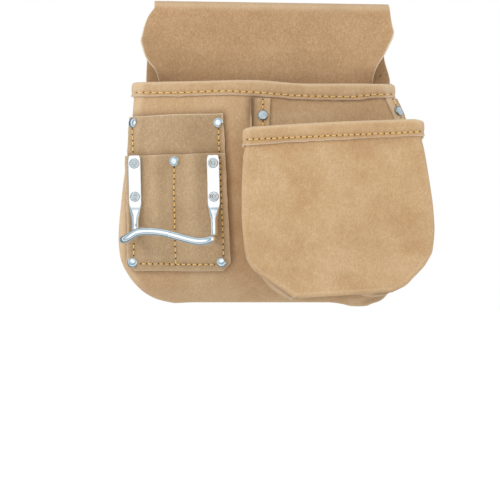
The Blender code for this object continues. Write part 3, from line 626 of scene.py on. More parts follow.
tapeDents = [  # x, z, half width, half height, depth forward
    (0.050, -0.120, 0.035, 0.030, 0.0016),
    (0.005, -0.085, 0.016, 0.010, 0.0007),
    (0.100, -0.080, 0.020, 0.007, -0.0012),
    (0.112, -0.100, 0.010, 0.014, 0.0009),
    (0.015, -0.150, 0.020, 0.022, -0.0009),
    (0.085, -0.165, 0.028, 0.012, -0.0011),
    (0.055, -0.178, 0.030, 0.008, 0.0010),
    (0.028, -0.186, 0.014, 0.006, -0.0007),
]
tapeRipples = [(0.0007, 0.034, 0.030, 7, 41), (0.00022, 0.012, 0.013, 0, 42)]


tapeHemLength = smoothCurve(  # x and how far the folded hem reaches down
    (-0.022, -0.010, 0.020, 0.050, 0.085, 0.110, 0.122),
    (0.0123, 0.0121, 0.0121, 0.0119, 0.0117, 0.0112, 0.0108))
borders = {}  # lines where one piece lies on another


def tapeLevel(down, share):
    return -tape["drop"] + mix(tape["tilt"], tape["footTilt"], down) * (share - 0.5) - tape["height"] * down


def tapeRelief(x, z, down):
    calm = ease(down / calmZone) * ease((1.0 - down) / 0.06 + 0.25)
    return relief(x, z, tapeRipples, tapeDents) * calm


def tapeX(curve, down):
    return tape["middle"] + tape["width"] * curve(down)


def tabMiddles(z):
    # where the rivets and stitches of the two tabs sit along the nail pocket's wall
    left = tapeX(tapeSeam["left"], 0.0) + tape["flange"] * tape["tabMiddle"]
    return left, nailRightCorner(z) + tape["wrap"] - tape["rightSeam"]


def buildTapePocket():
    downs = evenDowns(tape["width"], tape["height"], tape["left"], tape["right"], 0.00115)
    turns = tape["turn"](downs)
    depth = nail["deep"] + tape["deep"] * tape["depth"](downs)
    corners = []
    for side, name, share in ((-1, "left", 0), (1, "right", 1)):
        x = tapeX(tape[name], downs) - side * tape["corner"] * np.cos(np.radians(turns))
        z = tapeLevel(downs, share) + tape["corner"] * np.sin(np.radians(turns))
        corners.append(place(x, depth, z))
    count = int(tape["width"] * 0.92 / meshStep)
    shares = np.linspace(0, 1, count + 1)
    front = mix(corners[0][:, None], corners[1][:, None], shares[None, :, None])
    calm = ease(np.minimum(shares, 1 - shares) / 0.05)
    front[..., 1] -= tapeRelief(front[..., 0], front[..., 2], column(downs)) * calm
    sag = 0.0008 * np.sin(np.pi * shares) * (1 - ease(column(downs) / 0.1))
    front[..., 2] += sag

    footEdge = front[-1, 1:-1]
    edge = allRound(front[:, 0], footEdge, front[:, -1])
    outer = stripOuter(turns, len(footEdge), 7)
    top, bottom = tabTop(), tapeLevel(1.0, 0.5) + 2 * tape["corner"]
    seamZ = mix(top, bottom, downs)
    leftGirth = tapeX(tapeSeam["left"], downs)
    wrap = nail["corner"] * math.pi / 2 + tape["wrap"]
    rightGirth = nailRightCorner(seamZ) + tape["wrap"] - wrap * (1 - tapeSeam["right"](downs))
    footGirth = mix(leftGirth[-1], rightGirth[-1], shares[1:-1])
    girth = allRound(leftGirth, footGirth, rightGirth)
    seamZ = allRound(seamZ, np.full(len(footEdge), bottom), seamZ)
    seamOuter = stripOuter(tapeSeam["turn"](downs), len(footEdge), 7)
    reach = tape["flange"] * tapeSeam["flange"](downs)
    reach = allRound(reach, np.full(len(footEdge), reach[-1]), reach)

    def seam(inward, height):
        rise = np.broadcast_to(layer + height, girth.shape)
        return onNailWall(girth - seamOuter[:, 0] * inward, seamZ - seamOuter[:, 2] * inward, rise)

    around = allRound(downs, 1 + shares[1:-1], 3 - downs)
    bulge = tape["pouch"] * arch(around, 0.80, 1.08) + tape["pouch"] * 0.5 * arch(around, 1.75, 2.12)
    strips = stripProfile(edge, outer, np.zeros(len(edge)), tape["corner"], seam, reach, tape["slump"], bulge)
    run = np.clip((np.arange(strips.shape[1]) - strip["corner"]) / strip["wall"], 0, 1)
    above = column(1 - ease(downs / 0.34))
    leftRows, rightRows = slice(0, len(downs)), slice(None, -len(downs) - 1, -1)
    leftLift = ease((run - tape["dipEnd"]) / (1 - tape["dipEnd"]))
    rightLift = np.clip((run - tape["slopeStart"]) / (1 - tape["slopeStart"]), 0, 1)
    for rows, share, lift in ((leftRows, 0, leftLift), (rightRows, 1, rightLift)):
        level = tapeLevel(0, share)
        wanted = mix(level, tabTop(), lift) - tape["mouthHang"] * ease(run / 0.12) * (1 - run)
        strips[rows, :, 2] += above * np.where((run > 0) & (run < 1), wanted - strips[rows][0, :, 2], 0.0)
    unrounded = hemPaths(front, strips, tape["turned"], 2)[:, 0, 2]
    onlyMouth = 1 - ease(downs / 0.1)
    bend = tape["corner"] * math.pi / 2
    toCorner = np.minimum(shares, 1 - shares) * tape["width"] + bend
    front[..., 2] -= tape["roundDrop"] * (1 - ease(toCorner / tape["round"])) * column(onlyMouth)
    stepsLeft = np.clip(strip["corner"] - np.arange(strips.shape[1]), 0, None) / strip["corner"]
    rounding = tape["roundDrop"] * (1 - ease(stepsLeft * bend / tape["round"])) * (1 - run)
    for rows in (leftRows, rightRows):
        strips[rows, :, 2] -= rounding * column(onlyMouth)
    borders["tape"] = seam(0.0, 0.0)
    low = int(len(downs) * 0.72)
    crease = strips[:, strip["corner"]:strip["corner"] + 4][bulge > 0.3 * tape["pouch"]].reshape(-1, 3)
    borders["tapeFold"] = edge[low:len(edge) - low]
    borders["tapeCrease"] = crease
    borders["tabs"] = np.concatenate([borders["tape"][:26], borders["tape"][-26:]])
    paths = hemPaths(front, strips, tape["turned"], 26)
    lengths = tapeHemLength(paths[:, 0, 0]) - unrounded + paths[:, 0, 2]
    hem = foldHem(paths, lengths, hemCover, 14)
    return makeSheet("tape_pocket_suede", [front, strips, hem], (0, -1, 0), "tape")


# Patch pockets

patch = {"middle": -0.318 * nail["width"], "lean": 0.0027, "width": 0.0766, "flare": 0.10, "split": 0.47,
         "chamfer": 0.0065, "inset": 0.0042, "slotMargin": 0.0050, "drop": 0.0555, "tilt": 0.0025,
         "markerHeight": 0.1255, "markerBulge": 0.0085, "pencilHeight": 0.0930, "pencilBulge": 0.0068,
         "slotBulge": 0.004, "markerFade": 0.8, "pencilFade": 0.9, "cutWaver": 0.0003, "settled": 0.26,
         "curl": 0.0006, "lowRivetIn": 0.0030, "lowRivetUp": 0.0005}


def patchFall(z):
    return (-z - patch["drop"]) / patch["markerHeight"]


def patchEdges(z):
    middle = patch["middle"] + patch["lean"] * patchFall(z)
    half = patch["width"] / 2 * (1 + patch["flare"] * patchFall(z))
    return middle - half, middle + half


def patchSplit(z):
    return mix(*patchEdges(z), patch["split"])


def pencilMouth():
    return -patch["drop"] - patch["markerHeight"] + patch["pencilHeight"]


def slotArch(girth, z):
    away = np.abs(girth - patchSplit(z))
    return arch(away, patch["slotMargin"], loop["legReach"] - loop["legWidth"] / 2 - loop["legMargin"])


def belowMouth(z):
    return np.clip((pencilMouth() - z) / patch["pencilHeight"], 0.0, 1.0)


def markerBulge(girth, z):
    opening = ease((z - pencilMouth()) / (patch["markerHeight"] - patch["pencilHeight"]))
    left, right = patchEdges(z)
    flat = patch["inset"] + 0.0047
    wide = patch["markerBulge"] * opening * arch(girth, left + flat, right - flat)
    fade = 1 - patch["markerFade"] * belowMouth(z)
    narrow = patch["slotBulge"] * (1 - opening) * fade * slotArch(girth, z)
    return patch["settled"] * (wide + narrow)


def pencilBulge(girth, z):
    fade = 1 - patch["pencilFade"] * belowMouth(z)
    return patch["settled"] * patch["pencilBulge"] * fade * slotArch(girth, z)


def bothBulges(girth, z):
    return markerBulge(girth, z) + pencilBulge(girth, z)


def edgeLift(girth, z):
    # the cut edges curl up a little outside the seams
    left, right = patchEdges(z)
    outside = np.minimum(girth - left, right - girth)
    return patch["curl"] * (1 - ease(outside / patch["inset"]))


def buildPatch(name, height, layers, bulge, hide):
    bottom = -patch["drop"] - patch["markerHeight"]
    levels = np.linspace(bottom + height, bottom, int(height / 0.00095) + 1)
    shares = np.linspace(0, 1, 88)
    rows = []
    for level in levels:
        cut = max(0.0, bottom + patch["chamfer"] - level)
        left, right = patchEdges(level)
        waver = patch["cutWaver"] * softNoise(level / 0.006, layers * 3.0, 8)
        girth = mix(left + cut + waver, right - cut + waver, shares)
        mouth = np.clip((level - bottom) / height, 0, 1)
        tilt = patch["tilt"] * ((girth - left) / (right - left) - 0.5) * mouth
        z = level + tilt + patch["cutWaver"] * softNoise(girth / 0.007, layers * 5.0, 9) * (mouth > 0.995)
        rows.append(onNailWall(girth, z, layers * layer + bulge(girth, z) + edgeLift(girth, z)))
    grid = np.stack(rows)
    borders[name] = np.concatenate([grid[:, 0], grid[:, -1], grid[0], grid[-1]])
    return makeSheet(name, [grid], (0, -1, 0), hide)


# Hammer loop

loop = {"legLength": 0.0385, "legWidth": 0.0103, "legThick": 0.0024, "legReach": 0.0320, "legMargin": 0.0006,
        "radius": 0.0032, "drop": 0.1555, "reach": 0.0530, "spread": 0.0072, "tuck": 0.0019, "bow": 0.0032,
        "wave": 0.0036, "leftDip": 0.0026, "rightDip": 0.0012, "legRivets": (0.17, 0.87),
        "endRounding": (0.80, 0.94, 1.0)}
loopArm = [  # shares forward, down and outward
    (0.05, 0.1, 0.0), (0.20, 0.2, 0.1), (0.50, 0.2, 0.5), (0.80, 0.1, 0.9), (0.95, 0.0, 0.9),
]
loopBar = [  # share from left to right, then forward and up
    (0.05, 0.85, 0.40), (0.16, 1.00, 1.55), (0.30, 1.00, 1.76), (0.45, 1.00, 1.45),
    (0.60, 1.00, 0.70), (0.75, 1.00, -0.12), (0.86, 1.00, -0.52), (0.95, 0.80, -0.42),
]


def legSeat(side, z, height):
    inner = patchSplit(z) + side * (loop["legReach"] - loop["legWidth"] / 2)
    normal = nailNormal(inner, z)
    across = unit(np.cross(normal, (0.0, 0.0, -1.0)))
    spot = onNailWall(inner, z, 2.5 * leather["thickness"] + 3 * leather["gap"] + height)
    return spot + across * (side * loop["legWidth"] / 2), normal


def loopStations():
    # spot, half width, half thickness and roundness along the rod, from the left leg to the right one
    top = pencilMouth() - leather["thickness"] / 2
    bottom = top - loop["legLength"]
    radius = loop["radius"]
    levels = [(top, 0.0), (mix(top, bottom, 0.5), 0.0), (bottom, 0.0),
              (mix(bottom, -loop["drop"], 0.25), 0.5), (mix(bottom, -loop["drop"], 0.5), 1.0),
              (-loop["drop"] + 2 * radius, 1.0)]

    def leg(side):
        stations = []
        for z, roundness in levels:
            halfWide = mix(loop["legWidth"] / 2, radius, roundness)
            halfThick = mix(loop["legThick"] / 2, radius, roundness)
            stations.append((legSeat(side, z, halfThick)[0], halfWide, halfThick, roundness))
        return stations

    def arm(side, lean, dip):
        root = legSeat(side, -loop["drop"], radius)[0]
        reach = loop["reach"] - radius
        stations = []
        for forward, fall, out in loopArm:
            offset = (side * lean * out, -reach * forward, -radius * fall - dip * forward ** 3)
            stations.append((root + np.array(offset), radius, radius, 1.0))
        return stations

    leftArm = arm(-1, loop["spread"], loop["leftDip"])
    rightArm = arm(1, -loop["tuck"], loop["rightDip"])
    bar = []
    for share, forward, high in loopBar:
        offset = np.array((0, -loop["bow"] * forward, loop["wave"] * high))
        bar.append((mix(leftArm[-1][0], rightArm[-1][0], share) + offset, radius, radius, 1.0))
    return leg(-1) + leftArm + bar + rightArm[::-1] + leg(1)[::-1]


def smoothRoute(stations, cuts):
    spots = np.array([station[0] for station in stations])
    sizes = np.array([station[1:] for station in stations])
    route, shapes = [], []
    for k in range(len(spots) - 1):
        before, start, end = spots[max(0, k - 1)], spots[k], spots[k + 1]
        after = spots[min(len(spots) - 1, k + 2)]
        for cut in range(cuts):
            t = cut / cuts
            route.append((start * 2 + (end - before) * t + (before * 2 - start * 5 + end * 4 - after) * t * t
                          + (start * 3 - before - end * 3 + after) * t ** 3) * 0.5)
            shapes.append(mix(sizes[k], sizes[k + 1], t))
    return np.array(route + [spots[-1]]), np.array(shapes + [sizes[-1]])


def buildHammerLoop():
    route, shapes = smoothRoute(loopStations(), 8)
    last = len(route) - 1
    frames = [None] * len(route)
    for side, order in ((-1, range(len(route) // 2)), (1, range(last, len(route) // 2 - 1, -1))):
        normal = legSeat(side, route[order[0]][2], 0.0)[1]
        for k in order:
            ahead = route[min(k + 1, last)] - route[max(k - 1, 0)]
            across = unit(np.cross(ahead, normal))
            normal = unit(np.cross(across, ahead))
            frames[k] = (across, normal)
    sides = 32
    angles = 2 * np.pi * (np.arange(sides) + 0.5) / sides
    rings = []
    eased = loop["endRounding"]  # the legs' cut ends, slightly eased
    for k, (spot, shape, (across, normal)) in enumerate(zip(route, shapes, frames)):
        halfWide, halfThick, roundness = shape
        power = mix(0.28, 1.0, roundness)
        wide = np.sign(np.cos(angles)) * np.abs(np.cos(angles)) ** power
        thick = np.sign(np.sin(angles)) * np.abs(np.sin(angles)) ** power
        ends = eased[min(k, last - k, len(eased) - 1)]
        ring = spot + across * column(halfWide * wide * ends)
        rings.append(ring + normal * column(halfThick * thick * ends))
    rings = np.stack(rings)
    closed = np.concatenate([rings, rings[:, :1]], 1)
    caps = [np.stack([end, np.broadcast_to(end.mean(0), end.shape)]) for end in (closed[0], closed[-1])]
    return addSolid("hammer_loop_steel", [closed, *caps], materials["steel"], 50)


# Rivets: polished domes, ringed tubular heads on the loop's legs, flat heads on the tabs

rivetShape = {"shank": 0.0015, "cap": 0.0043, "high": 0.0021, "washer": 0.0031, "washerHigh": 0.0009,
              "lift": 0.00012, "sides": 40}
rivetHeads = {  # radius and height from the centre out, as shares
    "dome": [(0.0, 1.0), (0.15, 0.99), (0.30, 0.96), (0.45, 0.90), (0.60, 0.81), (0.74, 0.68),
             (0.86, 0.50), (0.94, 0.32), (0.985, 0.16), (1.0, 0.06), (0.985, 0.0), (0.93, -0.02)],
    "ringed": [(0.0, 0.20), (0.14, 0.22), (0.22, 0.30), (0.30, 0.42), (0.36, 0.36), (0.42, 0.26),
               (0.50, 0.24), (0.58, 0.34), (0.66, 0.48), (0.74, 0.54), (0.82, 0.50), (0.90, 0.36),
               (0.96, 0.18), (0.97, 0.0), (0.93, -0.02)],
    "flat": [(0.0, 0.62), (0.30, 0.63), (0.55, 0.64), (0.70, 0.66), (0.80, 0.66), (0.88, 0.58),
             (0.95, 0.42), (1.0, 0.22), (1.0, 0.08), (0.97, 0.0), (0.92, -0.02)],
}
washerRim = [(0.96, 0.0), (1.0, 0.3), (0.9, 0.9), (0.5, 1.0), (0.0, 1.0)]


def rivetPlaces():
    # node name, wall spot, axis, girth, level, height of the stack and the kind of head
    places = []
    cap = rivetShape["cap"] + leather["gap"]
    half = leather["thickness"] / 2

    def onPatch(name, girth, z, layers, head):
        places.append((name, nailWall(girth, z), nailNormal(girth, z), girth, z, layers * layer + half, head))

    topZ = -patch["drop"] - patch["inset"] - layer
    onPatch("patch_rivet_top_left", patchEdges(topZ)[0] + patch["inset"], topZ, 1, "dome")
    onPatch("patch_rivet_top_right", patchEdges(topZ)[1] - patch["inset"], topZ, 1, "dome")
    middleZ = pencilMouth() - cap - half
    onPatch("patch_rivet_middle", patchSplit(middleZ), middleZ, 2, "dome")
    bottomZ = -patch["drop"] - patch["markerHeight"] + patch["chamfer"]
    onPatch("patch_rivet_bottom_left", patchEdges(bottomZ)[0] + patch["inset"], bottomZ, 2, "dome")
    lowRight = patchEdges(bottomZ)[1] - patch["inset"] - patch["lowRivetIn"]
    onPatch("patch_rivet_bottom_right", lowRight, bottomZ + patch["lowRivetUp"], 2, "dome")
    legTop = pencilMouth() - half
    for side, sideName in ((-1, "left"), (1, "right")):
        for row, share in zip(("upper", "lower"), loop["legRivets"]):
            z = legTop - loop["legLength"] * share
            seat, normal = legSeat(side, z, 0.0)
            stack = 2 * layer + half + leather["gap"]
            girth = patchSplit(z) + side * loop["legReach"]
            name = f"loop_rivet_{sideName}_{row}"
            places.append((name, seat - normal * stack, normal, girth, z, stack + loop["legThick"], "ringed"))
    tabZ = (tabTop() - tape["tabFoot"]) / 2
    leftGirth, rightGirth = tabMiddles(tabZ)
    onPatch("tape_rivet_left", leftGirth, tabZ - tape["leftDrop"], 1, "flat")
    onPatch("tape_rivet_right", rightGirth, tabZ, 1, "flat")
    return places


def washerDip(spot, normal, girth, z, radius):
    around = np.arange(8) * math.pi / 4
    half = leather["thickness"] / 2
    near = onNailWall(girth + radius * np.cos(around), z + radius * np.sin(around), np.full(8, -half))
    return max(0.0, float((-half - (near - spot) @ normal).max()))


def buildRivet(name, spot, normal, girth, z, height, head):
    size = rivetShape
    dip = washerDip(spot, normal, girth, z, size["washer"] * 1.4)
    top = height + size["lift"]
    washer = -leather["thickness"] / 2 - leather["gap"] - dip
    profile = [(size["cap"] * wide, top + size["high"] * high) for wide, high in rivetHeads[head]]
    profile += [(size["shank"], top), (size["shank"], washer)]
    profile += [(size["washer"] * wide, washer - size["washerHigh"] * low) for wide, low in washerRim]
    angles = 2 * np.pi * np.arange(size["sides"] + 1) / size["sides"]
    turn = np.array(Vector(normal).to_track_quat("Z", "Y").to_matrix())
    rings = [np.stack([wide * np.cos(angles), wide * np.sin(angles), np.full(len(angles), high)], -1)
             for wide, high in profile]
    return addSolid(name + "_head", [np.stack(rings) @ turn.T + spot], materials[head], 55)


# Stitches: two-ply thread laid hole to hole on the finished leather

thread = {"radius": 0.00046, "plies": 2, "sides": 6, "rings": 9, "twist": 1.6, "sink": 0.0007,
          "arch": 0.00034, "holeRadius": 0.00068, "waver": 0.00018}
holeRim = [(1.0, -0.00005), (0.9, 0.00009), (0.6, 0.00006), (0.0, -0.00004)]  # share of the radius, height


def evenSpots(line, pitch):
    line = np.array(line, float)
    arcs = np.concatenate([[0], np.cumsum(np.linalg.norm(np.diff(line, axis=0), axis=1))])
    count = max(1, round(arcs[-1] / pitch))
    at = np.linspace(0, arcs[-1], count + 1)
    return np.stack([np.interp(at, arcs, line[:, axis]) for axis in range(line.shape[1])], -1)


def stitchGrids(start, end, normal):
    # one stitch: thread plies that wind round each other, dive into the holes and arch between them
    along = unit(end - start)
    across = unit(np.cross(along, normal))
    t = np.linspace(0, 1, thread["rings"])
    lift = thread["arch"] * np.sin(np.pi * t) ** 0.6 + thread["radius"] * 0.4
    lift = lift - (thread["sink"] + thread["radius"]) * (1 - ease(np.minimum(t, 1 - t) / 0.16))
    core = mix(start, end, column(t)) + normal * column(lift)
    grids = []
    ring = 2 * np.pi * np.arange(thread["sides"] + 1) / thread["sides"]
    for ply in range(thread["plies"]):
        phase = 2 * np.pi * (t * thread["twist"] + ply / thread["plies"])
        swing = across * column(np.cos(phase)) + normal * column(np.sin(phase))
        centre = core + swing * thread["radius"] * 0.5
        circle = across * np.cos(ring)[None, :, None] + normal * np.sin(ring)[None, :, None]
        grids.append(centre[:, None] + thread["radius"] * 0.72 * circle)
    return grids


def holeShadeGrid(spot, normal):
    # a disc painted dark as the shade inside a punched hole, with a puckered rim
    side = unit(np.cross(normal, (0.31, 0.52, 0.79)))
    up = np.cross(normal, side)
    ring = 2 * np.pi * np.arange(11) / 10
    circle = side * column(np.cos(ring)) + up * column(np.sin(ring))
    return np.stack([spot + normal * high + thread["holeRadius"] * share * circle for share, high in holeRim])


class Sewing:
    # gathers every stitch of one piece of leather, so that it carries one thread object
    def __init__(self, piece):
        shape = bmesh.new()
        shape.from_mesh(piece.data)
        self.tree = BVHTree.FromBMesh(shape)
        shape.free()
        self.piece, self.stitches, self.holes, self.spots = piece, [], [], []

    def land(self, spot, direction, reach=0.5):
        # first point met from the spot along the direction, and the normal that looks back
        hit, normal, _, _ = self.tree.ray_cast(Vector(spot), Vector(direction), reach)
        if hit is None:
            return None
        if normal.dot(Vector(direction)) > 0:
            normal = -normal
        return np.array(hit), np.array(normal)

    def sewLine(self, line, pitch, direction=(0, 1, 0), back=0.3):
        direction = np.array(direction, float)
        spots = evenSpots(line, pitch)
        self.lay(spots - direction * back, np.broadcast_to(direction, spots.shape), pitch)

    def sewWall(self, girths, levels, pitch, height):
        # a seam on the nail pocket's wall, felt for from just above the leather
        spots = evenSpots(np.stack([girths, levels], -1), pitch)
        starts = onNailWall(spots[:, 0], spots[:, 1], np.full(len(spots), height))
        self.lay(starts, -nailNormal(spots[:, 0], spots[:, 1]), pitch)

    def lay(self, starts, directions, pitch):
        landed = []
        for k, (spot, direction) in enumerate(zip(starts, directions)):
            hit = self.land(spot, direction)
            if hit is not None:
                waver = thread["waver"] * math.sin(k * 2.4) * unit(np.cross(hit[1], (1.0, 0.2, 0.0)))
                landed.append((hit[0] + waver, hit[1]))
        for (start, startNormal), (end, endNormal) in zip(landed, landed[1:]):
            if np.linalg.norm(end - start) > 2.0 * pitch:
                continue
            gap = (end - start) * 0.13
            self.stitches += stitchGrids(start + gap, end - gap * 0.55, unit(startNormal + endNormal))
        for spot, normal in landed:
            self.holes.append(holeShadeGrid(spot, normal))
            self.spots.append(spot)

    def build(self):
        name = self.piece.name.removesuffix("_suede")
        return [addSolid(name + "_stitches", self.stitches, materials["thread"]),
                addSolid(name + "_holes", self.holes, materials["hole"])]


def frontLine(xs, zs):
    return [(x, 0.0, z) for x, z in zip(xs, zs)]


# Materials

def newGroup(name, inputs, outputs):
    group = bpy.data.node_groups.new(name, "ShaderNodeTree")
    for label, kind, value in inputs:
        socket = group.interface.new_socket(label, in_out="INPUT", socket_type=kind)
        if value is not None:
            socket.default_value = value
    for label, kind in outputs:
        group.interface.new_socket(label, in_out="OUTPUT", socket_type=kind)
    return group, group.nodes.new("NodeGroupInput"), group.nodes.new("NodeGroupOutput")


def addNode(tree, kind, values=None, **settings):
    node = tree.nodes.new(kind)
    for key, value in settings.items():
        setattr(node, key, value)
    for key, value in (values or {}).items():
        node.inputs[key].default_value = value
    return node


def ramp(tree, source, stops):
    node = addNode(tree, "ShaderNodeValToRGB")
    elements = node.color_ramp.elements
    while len(elements) < len(stops):
        elements.new(0.5)
    for element, (position, color) in zip(elements, stops):
        element.position, element.color = position, (*color, 1.0) if len(color) == 3 else color
    tree.links.new(source, node.inputs["Fac"])
    return node.outputs["Color"]


def mathNode(tree, operation, first, second):
    node = addNode(tree, "ShaderNodeMath", operation=operation)
    for k, value in enumerate((first, second)):
        if isinstance(value, (int, float)):
            node.inputs[k].default_value = value
        else:
            tree.links.new(value, node.inputs[k])
    return node.outputs[0]


def times(tree, first, second):
    return mathNode(tree, "MULTIPLY", first, second)


def plus(tree, first, second):
    return mathNode(tree, "ADD", first, second)


def addRange(tree, value, low, high, outLow=0.0, outHigh=1.0):
    ends = {"From Min": low, "From Max": high, "To Min": outLow, "To Max": outHigh}
    node = addNode(tree, "ShaderNodeMapRange", ends)
    tree.links.new(value, node.inputs["Value"])
    return node.outputs["Result"]


def mixColors(tree, factor, first, second, blend="MIX"):
    node = addNode(tree, "ShaderNodeMix", data_type="RGBA", blend_type=blend, clamp_factor=True)
    for key, value in (("Factor", factor), ("A", first), ("B", second)):
        socket = [s for s in node.inputs if s.name == key and s.enabled][0]
        if isinstance(value, (int, float)):
            socket.default_value = value
        elif isinstance(value, tuple):
            socket.default_value = (*value, 1.0)
        else:
            tree.links.new(value, socket)
    return [s for s in node.outputs if s.enabled][0]


def noise(tree, vector, scale, detail, roughness=0.5, distortion=0.0):
    node = addNode(tree, "ShaderNodeTexNoise", {"Scale": scale, "Detail": detail, "Roughness": roughness,
                                                "Distortion": distortion})
    tree.links.new(vector, node.inputs["Vector"])
    return node.outputs["Fac"]


def stretched(tree, vector, scale, turn):
    node = addNode(tree, "ShaderNodeMapping", {"Scale": scale, "Rotation": turn})
    tree.links.new(vector, node.inputs["Vector"])
    return node.outputs["Vector"]


def inUnits(group, inside, label):
    # the group's coordinates, counted in the size that its socket gives
    node = addNode(group, "ShaderNodeVectorMath", operation="SCALE")
    group.links.new(inside.outputs["Vector"], node.inputs[0])
    group.links.new(mathNode(group, "DIVIDE", 1.0, inside.outputs[label]), node.inputs["Scale"])
    return node.outputs[0]


def makeSuedeTone():
    group, inside, outside = newGroup("suedeTone", [
        ("Vector", "NodeSocketVector", None),
        ("Light", "NodeSocketColor", (0.66, 0.46, 0.28, 1)),
        ("Middle", "NodeSocketColor", (0.55, 0.37, 0.22, 1)),
        ("Dark", "NodeSocketColor", (0.42, 0.27, 0.15, 1)),
        ("Pale", "NodeSocketColor", (0.75, 0.53, 0.32, 1)),
        ("Cloud Size", "NodeSocketFloat", 0.04),
        ("Speckle", "NodeSocketFloat", 0.5),
    ], [("Color", "NodeSocketColor"), ("Cloud", "NodeSocketFloat")])
    read = inside.outputs
    vector, scaled = read["Vector"], inUnits(group, inside, "Cloud Size")
    cloud = noise(group, scaled, 1.0, 2.0, 0.5, 0.2)
    blotch = noise(group, scaled, 3.4, 5.0, 0.65)
    grain = noise(group, vector, 900.0, 3.0, 0.9)
    brushed = noise(group, stretched(group, vector, (600.0, 600.0, 330.0), (0.3, 0.2, 0.5)), 1.0, 3.0, 0.65)
    broad = addRange(group, plus(group, times(group, cloud, 0.62), times(group, blotch, 0.38)), 0.33, 0.67)
    fine = addRange(group, plus(group, times(group, grain, 0.7), times(group, brushed, 0.3)), 0.41, 0.59)
    shade = mixColors(group, addRange(group, broad, 0.0, 0.5), read["Dark"], read["Middle"])
    shade = mixColors(group, addRange(group, broad, 0.5, 1.0), shade, read["Light"])
    speck = times(group, read["Speckle"], mathNode(group, "SUBTRACT", 1.0, fine))
    shade = mixColors(group, speck, shade, read["Dark"])
    glint = times(group, mathNode(group, "POWER", fine, 2.0), times(group, read["Speckle"], 0.6))
    shade = mixColors(group, glint, shade, read["Pale"])
    group.links.new(shade, outside.inputs["Color"])
    group.links.new(broad, outside.inputs["Cloud"])
    return group


def makeNap():
    # short fibres lying in slowly turning directions, over a pebbled split surface
    group, inside, outside = newGroup("suedeNap", [
        ("Vector", "NodeSocketVector", None),
        ("Fibre Size", "NodeSocketFloat", 0.0011),
    ], [("Height", "NodeSocketFloat")])
    scaled = inUnits(group, inside, "Fibre Size")
    fibres = noise(group, stretched(group, scaled, (1.0, 1.0, 0.3), (0.2, 0.3, 0.6)), 1.0, 4.0, 0.7, 0.8)
    pebble = noise(group, scaled, 0.45, 3.0, 0.6)
    height = plus(group, times(group, fibres, 0.6), times(group, pebble, 0.4))
    group.links.new(height, outside.inputs["Height"])
    return group


def makePaintedHighlightAndShade():
    # painted highlight on raised folds; painted shade in hollows, along the stitch valleys of the seams and
    # where the shade mask is set
    group, inside, outside = newGroup("paintedHighlightAndShade", [
        ("Color", "NodeSocketColor", None),
        ("Ridge", "NodeSocketFloat", 0.0),
        ("Hollow", "NodeSocketFloat", 0.0),
        ("Seam", "NodeSocketFloat", 0.0),
        ("Shade", "NodeSocketFloat", 0.0),
        ("Ridge Color", "NodeSocketColor", (0.80, 0.60, 0.40, 1)),
        ("Hollow Color", "NodeSocketColor", (0.26, 0.15, 0.08, 1)),
    ], [("Color", "NodeSocketColor")])
    color = inside.outputs["Color"]
    for label, strength, tint in (("Ridge", 0.55, "Ridge Color"), ("Hollow", 0.35, "Hollow Color"),
                                  ("Seam", 0.22, "Hollow Color"), ("Shade", 0.60, "Hollow Color")):
        share = times(group, inside.outputs[label], strength)
        color = mixColors(group, share, color, inside.outputs[tint])
    group.links.new(color, outside.inputs["Color"])
    return group


def useGroup(tree, group, **links):
    node = tree.nodes.new("ShaderNodeGroup")
    node.node_tree = group
    for label, value in links.items():
        socket = node.inputs[label.replace("_", " ")]
        if isinstance(value, bpy.types.NodeSocket):
            tree.links.new(value, socket)
        else:
            socket.default_value = (*value, 1.0) if isinstance(value, tuple) else value
    return node


def startMaterial(name, **values):
    material = bpy.data.materials.new(name)
    material.use_nodes = True
    tree = material.node_tree
    shader = tree.nodes["Principled BSDF"]
    for label, value in values.items():
        shader.inputs[label.replace("_", " ")].default_value = value
    coordinates = tree.nodes.new("ShaderNodeTexCoord")
    return material, tree, shader, coordinates.outputs["Object"]


def readMask(tree, name):
    return addNode(tree, "ShaderNodeAttribute", attribute_name=name).outputs["Fac"]


def addBump(tree, shader, height, strength, distance):
    bump = addNode(tree, "ShaderNodeBump", {"Strength": strength, "Distance": distance})
    tree.links.new(height, bump.inputs["Height"])
    tree.links.new(bump.outputs["Normal"], shader.inputs["Normal"])


def makeSuede(name, colors, cloudSize, speckle):
    material, tree, shader, vector = startMaterial(
        name, Sheen_Weight=0.22, Sheen_Roughness=0.45, Specular_IOR_Level=0.15)
    shader.inputs["Sheen Tint"].default_value = (1.0, 0.86, 0.68, 1.0)
    tone = useGroup(tree, groups["tone"], Vector=vector, Light=colors[0], Middle=colors[1], Dark=colors[2],
                    Cloud_Size=cloudSize, Speckle=speckle)
    # masks that steer the painted highlight on ridges and fold lines and the painted shade in hollows, seams
    # and shaded spots
    masks = {name: readMask(tree, name) for name in ("ridge", "foldLine", "hollow", "seam", "shade")}
    raised = mathNode(tree, "MAXIMUM", masks["ridge"], times(tree, masks["foldLine"], 0.45))
    paintedLight = useGroup(tree, groups["paintedLight"], Color=tone.outputs["Color"], Ridge=raised,
                    Hollow=masks["hollow"], Seam=masks["seam"], Shade=masks["shade"])
    tree.links.new(paintedLight.outputs["Color"], shader.inputs["Base Color"])
    tree.links.new(addRange(tree, tone.outputs["Cloud"], 0.0, 1.0, 0.98, 0.86), shader.inputs["Roughness"])
    nap = useGroup(tree, groups["nap"], Vector=vector)
    height = mathNode(tree, "SUBTRACT", nap.outputs["Height"], times(tree, masks["seam"], 0.9))
    addBump(tree, shader, height, 0.75, 0.0008)
    return material


